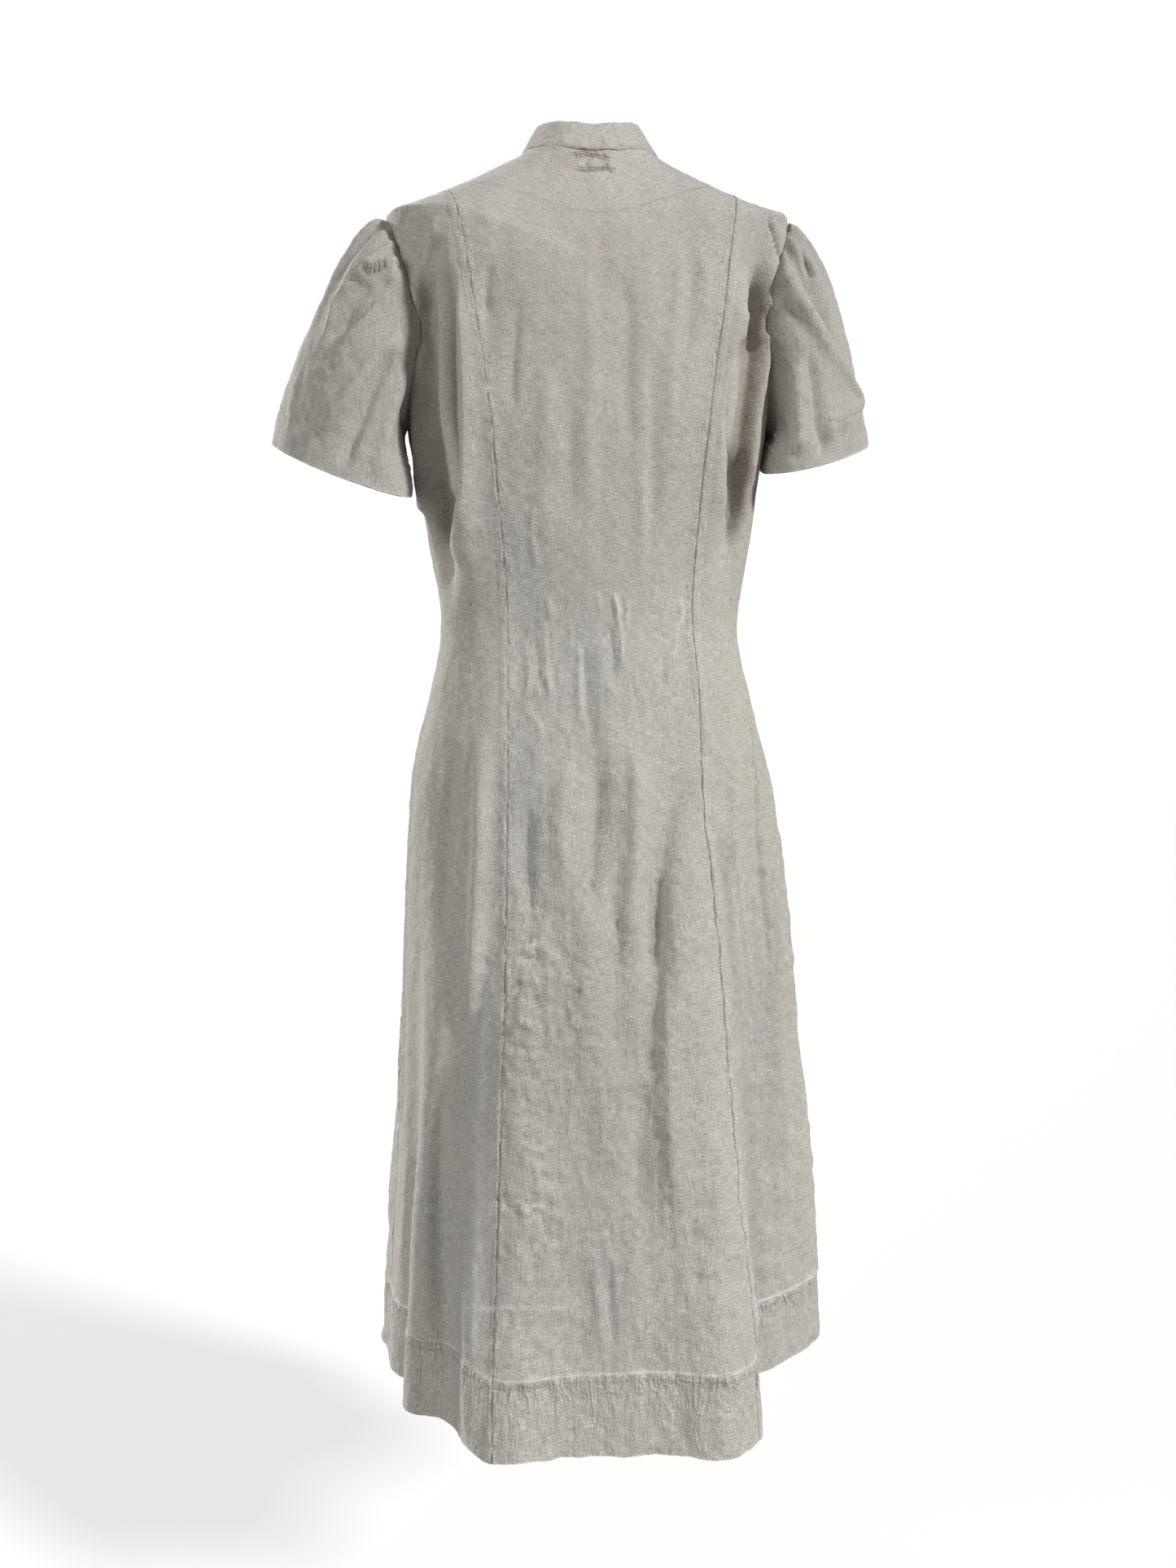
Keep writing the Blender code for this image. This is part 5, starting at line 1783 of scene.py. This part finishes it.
def collar_marks(points, from_bottom, from_top):
    marks = np.zeros(points.shape[:2] + (4,))
    fine = fine_noise(points)
    marks[..., SOILED_AND_PAINTED_SHADE] = 0.75 * bell(from_bottom, 0.0013)
    marks[..., SOILED_AND_PAINTED_SHADE] += 0.36 * bell(from_bottom - COLLAR_SEWN, 0.0011) * (0.8 + 0.6 * fine)
    marks[..., WORN_AND_PAINTED_LIGHT] = 0.3 * np.exp(-from_top / 0.0012) * (0.7 + 0.6 * fine)
    marks[..., TINTED] = 0.1 + 0.1 * noise(points / 0.03)
    marks[..., CRUMPLED] = CRUMPLED_SMALL_PIECE
    return np.clip(marks, 0.0, MARK_LIMIT)


def collar_grid():
    past = float(lap_angle(np.zeros(1), LAP_HALF)[0])
    angle = np.linspace(-math.pi / 2.0 - past, 1.5 * math.pi + past, COLLAR_COLUMNS + 1)
    base = body(angle, np.zeros_like(angle))
    rise = np.array([0.0, 0.0, BAND_HEIGHT]) + unit(-base * (1.0, 1.0, 0.0)) * BAND_LEAN
    rise_way = unit(rise)
    normal = unit(np.cross(np.gradient(base, axis=0), rise_way))
    tall = float(np.linalg.norm(rise[0]))
    from_bottom = spaced(tall, 14)[0][:, None]
    from_top = tall - from_bottom
    share = from_bottom / tall
    points = base[None] + rise_way * SEWN_GAP + rise[None] * share[..., None]
    over = (WALL + SEAM_GAP + LAP_LOOSE) * lap_share(base[:, 0]) * (angle > math.pi)
    lift = collar_lift(points, from_bottom, from_top, over[None])
    wavy = 0.0004 * noise(points[-1] / 0.016 + 2.0) + 0.0003 * noise(points[-1] / 0.007)
    arch = NAPE_ARCH * bell(angle - math.pi / 2.0, NAPE_ARCH_WIDTH)
    taller = (wavy + arch)[None] * share
    outer = points + normal[None] * lift[..., None] + rise_way[None] * taller[..., None]
    along = walked(base)[None]
    flat = np.stack(np.broadcast_arrays(along + PATTERN_EDGE, from_bottom + PATTERN_EDGE), axis=-1)
    thick = np.full(outer.shape[:2], COLLAR_THICK)
    return outer, thick, flat, collar_marks(points, from_bottom, from_top)


hang("collar_band", collar_grid())

# %% [markdown]
# ## Stitches
#
# A sewn line is hundreds of tiny bridges of thread. Each stitch here is its own short curve with
# a round bevel: it comes out of the cloth, lies on it and goes back in. Curves are the natural
# way, because a stitch is a thread and not a lump, and all the stitches of one kind are splines
# of one curve object. The lines are read off the finished grids, so they follow every pucker.

# %% Stitch lines
STITCH = 0.0021
STITCH_STEP = 0.0029
THREAD_RADIUS = 0.00022
THREAD_LIFT = 0.00012
STITCH_SHAPE = ((0.0, -0.6), (0.5, 1.0), (1.0, -0.6))
EDGE_COLUMNS = 24


def line_beside_end(name, away):
    """Points and normals of a finished grid, along its last edge and a little way in."""
    outer, normals = (grid[:, ::-1][:, :EDGE_COLUMNS] for grid in GRIDS[name])
    length = np.hstack([np.zeros((len(outer), 1)), gaps(outer, axis=1).cumsum(axis=1)])
    column = np.array([np.interp(away, line, np.arange(float(EDGE_COLUMNS))) for line in length])
    low = np.minimum(column.astype(int), EDGE_COLUMNS - 2)
    part = (column - low)[:, None]
    at = np.arange(len(outer))
    points = outer[at, low] * (1.0 - part) + outer[at, low + 1] * part
    facing = normals[at, low] * (1.0 - part) + normals[at, low + 1] * part
    return points, unit(facing)


def draw_thread(curve, points):
    """One thread through some points."""
    spline = curve.splines.new("POLY")
    spline.points.add(len(points) - 1)
    for corner, point in zip(spline.points, points):
        corner.co = (*point, 1.0)


def add_stitches(curve, points, normals):
    """Lay stitches along a line; each goes in, lies on the cloth and goes in again."""
    length = walked(points)
    starts = np.arange(0.0, length[-1] - STITCH, STITCH_STEP)
    for start in starts:
        stitch = []
        for share, rise in STITCH_SHAPE:
            at = start + share * STITCH
            place = np.array([np.interp(at, length, column) for column in points.T])
            normal = np.array([np.interp(at, length, column) for column in normals.T])
            stitch.append(place + normal * THREAD_LIFT * rise)
        draw_thread(curve, stitch)
    return len(starts)


def thread_curve(name, radius):
    curve = bpy.data.curves.new(name + "_lines", "CURVE")
    curve.dimensions = "3D"
    curve.bevel_depth = radius
    curve.bevel_resolution = 0
    curve.use_fill_caps = True
    return curve


def evaluated_mesh(thing):
    """The mesh that an object shows, with its bevel or modifiers worked out."""
    bpy.context.view_layer.update()
    return bpy.data.meshes.new_from_object(thing.evaluated_get(bpy.context.evaluated_depsgraph_get()))


def triangles(mesh):
    return sum(len(face.vertices) - 2 for face in mesh.polygons)


def thread_piece(name, curve, material):
    """Turn finished thread lines into one mesh that rides on the dress."""
    lines = add_object(name + "_lines", curve)
    mesh = evaluated_mesh(lines)
    bpy.data.objects.remove(lines)
    mesh.name = name
    mesh.materials.clear()
    mesh.materials.append(material)
    mesh.shade_smooth()
    piece = add_object(name, mesh)
    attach(piece, "root")
    print(name, "triangles:", triangles(mesh))


BAND_SHADE = 0.7
BAND_RELIEF = 0.00005


def thread_material(name, colour, roughness):
    """Twisted thread: fine slanting bands of light and shade."""
    dark = tuple(channel * BAND_SHADE for channel in colour[:3]) + (1.0,)
    material = plain_material(name, colour, roughness)
    tree = material.node_tree
    shader = tree.nodes["Principled BSDF"]
    place = add_node(tree, "TexCoord").outputs["Object"]
    bands = add_node(tree, "TexWave", {"Vector": place, "Scale": 900.0, "Distortion": 3.0, "Detail": 1.0})
    bands.bands_direction = "DIAGONAL"
    tree.links.new(mixed(tree, bands.outputs["Fac"], dark, colour), shader.inputs["Base Color"])
    relief = add_node(tree, "Bump", {"Height": bands.outputs["Fac"], "Distance": BAND_RELIEF})
    tree.links.new(relief.outputs["Normal"], shader.inputs["Normal"])
    return material


seam_thread = thread_material("seam_thread", (0.34, 0.315, 0.28, 1.0), 0.7)
dark_thread = thread_material("dark_thread", (0.35, 0.32, 0.285, 1.0), 0.7)
pale_thread = thread_material("pale_thread", (0.62, 0.59, 0.54, 1.0), 0.75)


def hem_row(name):
    """The row of a body grid that lies on the hem's stitch line."""
    kind = name.rsplit("_", 1)[0] if name != "back_center" else name
    rows, neck_rows, _ = body_rows(PITCH[kind])
    if kind in ("back_side", "front_side"):
        rows = rows[neck_rows:]
    return int(np.abs(rows - HEM_SEWN).argmin())


SEAM_STITCH_AWAY = 0.0011
LAP_STITCH_AWAY = 0.0025
COLLAR_STITCH_ROW = 4


def row_line(name, row):
    outer, normals = GRIDS[name]
    return outer[row], normals[row]


def sew():
    seams = thread_curve("seam_stitches", THREAD_RADIUS)
    hems = thread_curve("hem_stitches", THREAD_RADIUS)
    total = 0
    for name in ("back_side_left", "back_side_right", "front_side_left", "front_side_right"):
        total += add_stitches(seams, *line_beside_end(name, SEAM_STITCH_AWAY))
    for name in BODY_NODES:
        total += add_stitches(hems, *row_line(name, hem_row(name)))
    for name in ("front_left", "front_right"):
        total += add_stitches(hems, *line_beside_end(name, LAP_STITCH_AWAY))
    total += add_stitches(hems, *row_line("collar_band", COLLAR_STITCH_ROW))
    thread_piece("seam_stitches", seams, seam_thread)
    thread_piece("hem_stitches", hems, pale_thread)
    return total


print("stitches:", sew())

# %% [markdown]
# ## Darning at the nape
#
# Below the collar seam, where the cloth has worn through, there are two short rows of rough
# darning: pulled threads, loose ends and a slight pucker, on a patch that has gone pinkish. Loose
# threads are also left at both sides of the waist, where belt loops were once sewn.

# %% Loose threads
# how high each rises between its ends, and its path
LOOSE_THREADS = {
    "pale": (
        (0.5, ((697, 189), (712, 186), (730, 189), (748, 191))),
        (0.4, ((700, 194), (716, 192), (733, 193), (750, 197))),
        (0.5, ((704, 184), (716, 182), (731, 184))),
        (1.4, ((720, 183), (724, 187), (722, 191), (727, 189))),
        (1.2, ((731, 183), (734, 189), (737, 186))),
        (0.9, ((712, 188), (714, 193), (711, 197))),
        (0.5, ((705, 204), (722, 206), (740, 205), (756, 206))),
        (0.5, ((706, 209), (724, 211), (741, 209), (755, 211))),
        (0.8, ((715, 203), (717, 210))),
        (0.9, ((740, 202), (742, 211))),
        (1.0, ((733, 204), (731, 211))),
        (0.8, ((576, 735), (578, 743), (581, 736))),
        (0.9, ((578, 743), (576, 750))),
        (0.8, ((897, 732), (899, 738))),
    ),
    "dark": (
        (0.4, ((698, 192), (714, 189), (732, 191), (750, 194))),
        (1.0, ((742, 188), (745, 193), (751, 194))),
        (0.6, ((707, 186), (709, 194))),
        (0.6, ((726, 186), (728, 195))),
        (0.4, ((704, 207), (722, 209), (740, 207), (757, 208))),
        (1.2, ((746, 201), (748, 208), (752, 212))),
        (1.1, ((722, 201), (725, 209))),
    ),
}
LOOSE_RADIUS = 0.00028
LOOSE_LEAST = 0.0001
LOOSE_RISE = 0.0006
DARNED_GRIDS = ("back_center", "back_side_left", "back_side_right", "collar_band")


def finished_cloth(names):
    """One search tree over the outer faces of finished grids."""
    corners = []
    faces = []
    for name in names:
        outer = GRIDS[name][0]
        rows, columns = outer.shape[:2]
        index = len(corners) + np.arange(rows * columns).reshape(rows, columns)
        square = np.stack([index[:-1, :-1], index[:-1, 1:], index[1:, 1:], index[1:, :-1]], axis=-1)
        faces.extend(square.reshape(-1, 4).tolist())
        corners.extend(outer.reshape(-1, 3).tolist())
    return BVHTree.FromPolygons(corners, faces)


def laid_thread(cloth, lift, path):
    """Points of a thread that follows the finished cloth at a small height."""
    line = dense_path(path, 5 * len(path))
    points = []
    for pixel, share in zip(line, np.linspace(0.0, 1.0, len(line))):
        origin, way = sight(pixel)
        place, normal, _, _ = cloth.ray_cast(origin, way)
        if place is None:
            place, normal, _, _ = cloth.find_nearest(Vector(seen_on("body", pixel)[0]))
        if normal.dot(way) > 0.0:
            normal = -normal
        points.append(place + normal * (LOOSE_LEAST + LOOSE_RISE * lift * math.sin(math.pi * share)))
    return points


def lay_threads():
    cloth = finished_cloth(DARNED_GRIDS)
    for shade, material in (("pale", pale_thread), ("dark", dark_thread)):
        curve = thread_curve(shade + "_loose_threads", LOOSE_RADIUS)
        for lift, path in LOOSE_THREADS[shade]:
            draw_thread(curve, laid_thread(cloth, lift, path))
        thread_piece(shade + "_loose_threads", curve, material)


lay_threads()
print("loose threads:", {shade: len(rows) for shade, rows in LOOSE_THREADS.items()})

# %% [markdown]
# ## Buttons
#
# The buttons are dark and small, with a raised rim, a dished middle and four holes, held by a
# cross of thread. The rim and dish are one profile turned round its axis. The holes are cut
# through with four small pins and a Boolean modifier, because a hole's edge catches the light.
# The button at the right hip is the same with a smaller radius.

# %% Button shape
BUTTON_RADIUS = 0.0075
HIP_BUTTON_RADIUS = 0.006
BUTTON_THICK = 0.003
HOLE_RADIUS = 0.085
HOLE_PLACE = 0.18
BUTTON_PROFILE = (
    (0.0, -0.5), (0.78, -0.5), (0.93, -0.36), (1.0, -0.08), (1.0, 0.14),
    (0.95, 0.38), (0.86, 0.5), (0.74, 0.5), (0.64, 0.38), (0.55, 0.22), (0.0, 0.16),
)


def turned(profile, steps):
    work = bmesh.new()
    corners = [work.verts.new((x, 0.0, z)) for x, z in profile]
    edges = [work.edges.new(pair) for pair in zip(corners, corners[1:])]
    bmesh.ops.spin(
        work, geom=corners + edges, axis=(0.0, 0.0, 1.0), cent=(0.0, 0.0, 0.0),
        angle=2.0 * math.pi, steps=steps, use_merge=True,
    )
    bmesh.ops.remove_doubles(work, verts=work.verts[:], dist=1e-5)
    bmesh.ops.recalc_face_normals(work, faces=work.faces[:])
    return work


def button_pins(radius):
    """Four small pins where the holes go."""
    work = bmesh.new()
    for x, y in itertools.product((-HOLE_PLACE, HOLE_PLACE), repeat=2):
        made = bmesh.ops.create_cone(
            work, cap_ends=True, segments=12, radius1=HOLE_RADIUS * radius,
            radius2=HOLE_RADIUS * radius, depth=BUTTON_THICK * 3.0,
        )
        bmesh.ops.translate(work, verts=made["verts"], vec=(x * radius, y * radius, 0.0))
    return work


def button_mesh(radius):
    """A button of unit thickness scaled to size, with its four holes cut through."""
    blank_work = turned(BUTTON_PROFILE, 40)
    blank_work.transform(Matrix.Diagonal((radius, radius, BUTTON_THICK, 1.0)))
    things = []
    for name, work in (("button_blank", blank_work), ("button_pins", button_pins(radius))):
        mesh = bpy.data.meshes.new(name)
        work.to_mesh(mesh)
        work.free()
        things.append(add_object(name, mesh))
    blank, cutter = things
    cut = blank.modifiers.new("holes", "BOOLEAN")
    cut.object = cutter
    cut.solver = "EXACT"
    shaped = evaluated_mesh(blank)
    for thing in things:
        bpy.data.objects.remove(thing)
    return shaped


BUTTON_DARK = (0.02, 0.016, 0.014, 1.0)
BUTTON_STREAK = (0.075, 0.06, 0.05, 1.0)


def button_material():
    """Dark horn-like plastic, faintly streaked, satin and scuffed all over."""
    material = plain_material("dark_button", BUTTON_DARK, 0.35)
    tree = material.node_tree
    shader = tree.nodes["Principled BSDF"]
    shader.inputs["Coat Weight"].default_value = 0.15
    place = add_node(tree, "TexCoord").outputs["Object"]
    streak = add_node(tree, "TexNoise", {"Vector": place, "Scale": 420.0, "Detail": 4.0, "Distortion": 1.2})
    colour = mixed(tree, streak.outputs["Fac"], BUTTON_DARK, BUTTON_STREAK)
    tree.links.new(colour, shader.inputs["Base Color"])
    scuff = add_node(tree, "TexNoise", {"Vector": place, "Scale": 2600.0, "Detail": 2.0})
    rough = added(tree, 0.26, times(tree, scuff.outputs["Fac"], 0.25))
    tree.links.new(rough, shader.inputs["Roughness"])
    return material


dark_button = button_material()
BUTTON_SHAPES = {radius: button_mesh(radius) for radius in (BUTTON_RADIUS, HIP_BUTTON_RADIUS)}
print("button triangles:", [triangles(mesh) for mesh in BUTTON_SHAPES.values()])


# %% [markdown]
# Each button takes its place and its tilt from its CAD node: the middle of the node's points,
# and the direction in which it is thinnest. Two bars of thread cross its middle, and a worked
# buttonhole shows above and below it where the fronts are buttoned. The threads and stitches are
# drawn in the button's own frame, so one short list of places does for all of them.

# %% Buttons in place
BUTTON_SHARP = math.radians(38.0)
# place along the bar as a share of the hole's place, and height as a share of the thickness
THREAD_BAR = ((-1.0, -0.55), (-0.9, 0.2), (0.0, 0.3), (0.9, 0.2), (1.0, -0.55))
# distance from the slit and height over the cloth
HOLE_STITCH = ((0.0001, -0.00045), (0.0006, 0.0), (0.0012, -0.00045))
HOLE_REACH = 1.45
HOLE_HIDDEN = 0.8
HOLE_STITCHES = 25
CLOTH_BELOW = BUTTON_THICK / 2.0 + 0.0002


def node_axis(name):
    """Middle and thin direction of a CAD button, pointing away from the dress."""
    points = np.array([vertex.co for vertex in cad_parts[name].data.vertices])
    middle = points.mean(axis=0)
    axis = np.linalg.svd(points - middle, full_matrices=False)[2][2]
    if np.dot(axis, middle * (1.0, 1.0, 0.0)) < 0.0:
        axis = -axis
    return middle, axis


def place_button(name, radius, threads):
    middle, axis = node_axis(name)
    upright = Vector(axis).to_track_quat("Z", "Y").to_matrix().to_4x4()
    place = Matrix.Translation(Vector(middle)) @ upright
    mesh = BUTTON_SHAPES[radius].copy()
    mesh.name = name + "_turned"
    mesh.transform(place)
    mesh.shade_smooth()
    mesh.set_sharp_from_angle(angle=BUTTON_SHARP)
    mesh.materials.clear()
    mesh.materials.append(dark_button)
    piece = add_object(name + "_turned", mesh)
    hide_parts(name)
    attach(piece, "root")
    hole = HOLE_PLACE * radius
    for sign in (-1.0, 1.0):
        bar = [(along * hole, along * hole * sign, high * BUTTON_THICK) for along, high in THREAD_BAR]
        draw_thread(threads, [place @ Vector(point) for point in bar])
    return place


def worked_hole(curve, place, radius):
    """Close stitches round an upright slit that shows above and below the button."""
    reach = radius * HOLE_REACH
    for step in np.linspace(-reach, reach, HOLE_STITCHES):
        if abs(step) < radius * HOLE_HIDDEN:
            continue
        for side in (-1.0, 1.0):
            stitch = [(side * across, step, high - CLOTH_BELOW) for across, high in HOLE_STITCH]
            draw_thread(curve, [place @ Vector(point) for point in stitch])


def fasten():
    threads = thread_curve("button_threads", 0.0003)
    holes = thread_curve("buttonhole_stitches", 0.00024)
    for number in range(1, 11):
        place = place_button("front_button_%02d" % number, BUTTON_RADIUS, threads)
        worked_hole(holes, place, BUTTON_RADIUS)
    place_button("hip_button", HIP_BUTTON_RADIUS, threads)
    thread_piece("button_threads", threads, pale_thread)
    thread_piece("buttonhole_stitches", holes, pale_thread)
    return len(threads.splines), len(holes.splines)


print("button threads and buttonhole stitches:", fasten())
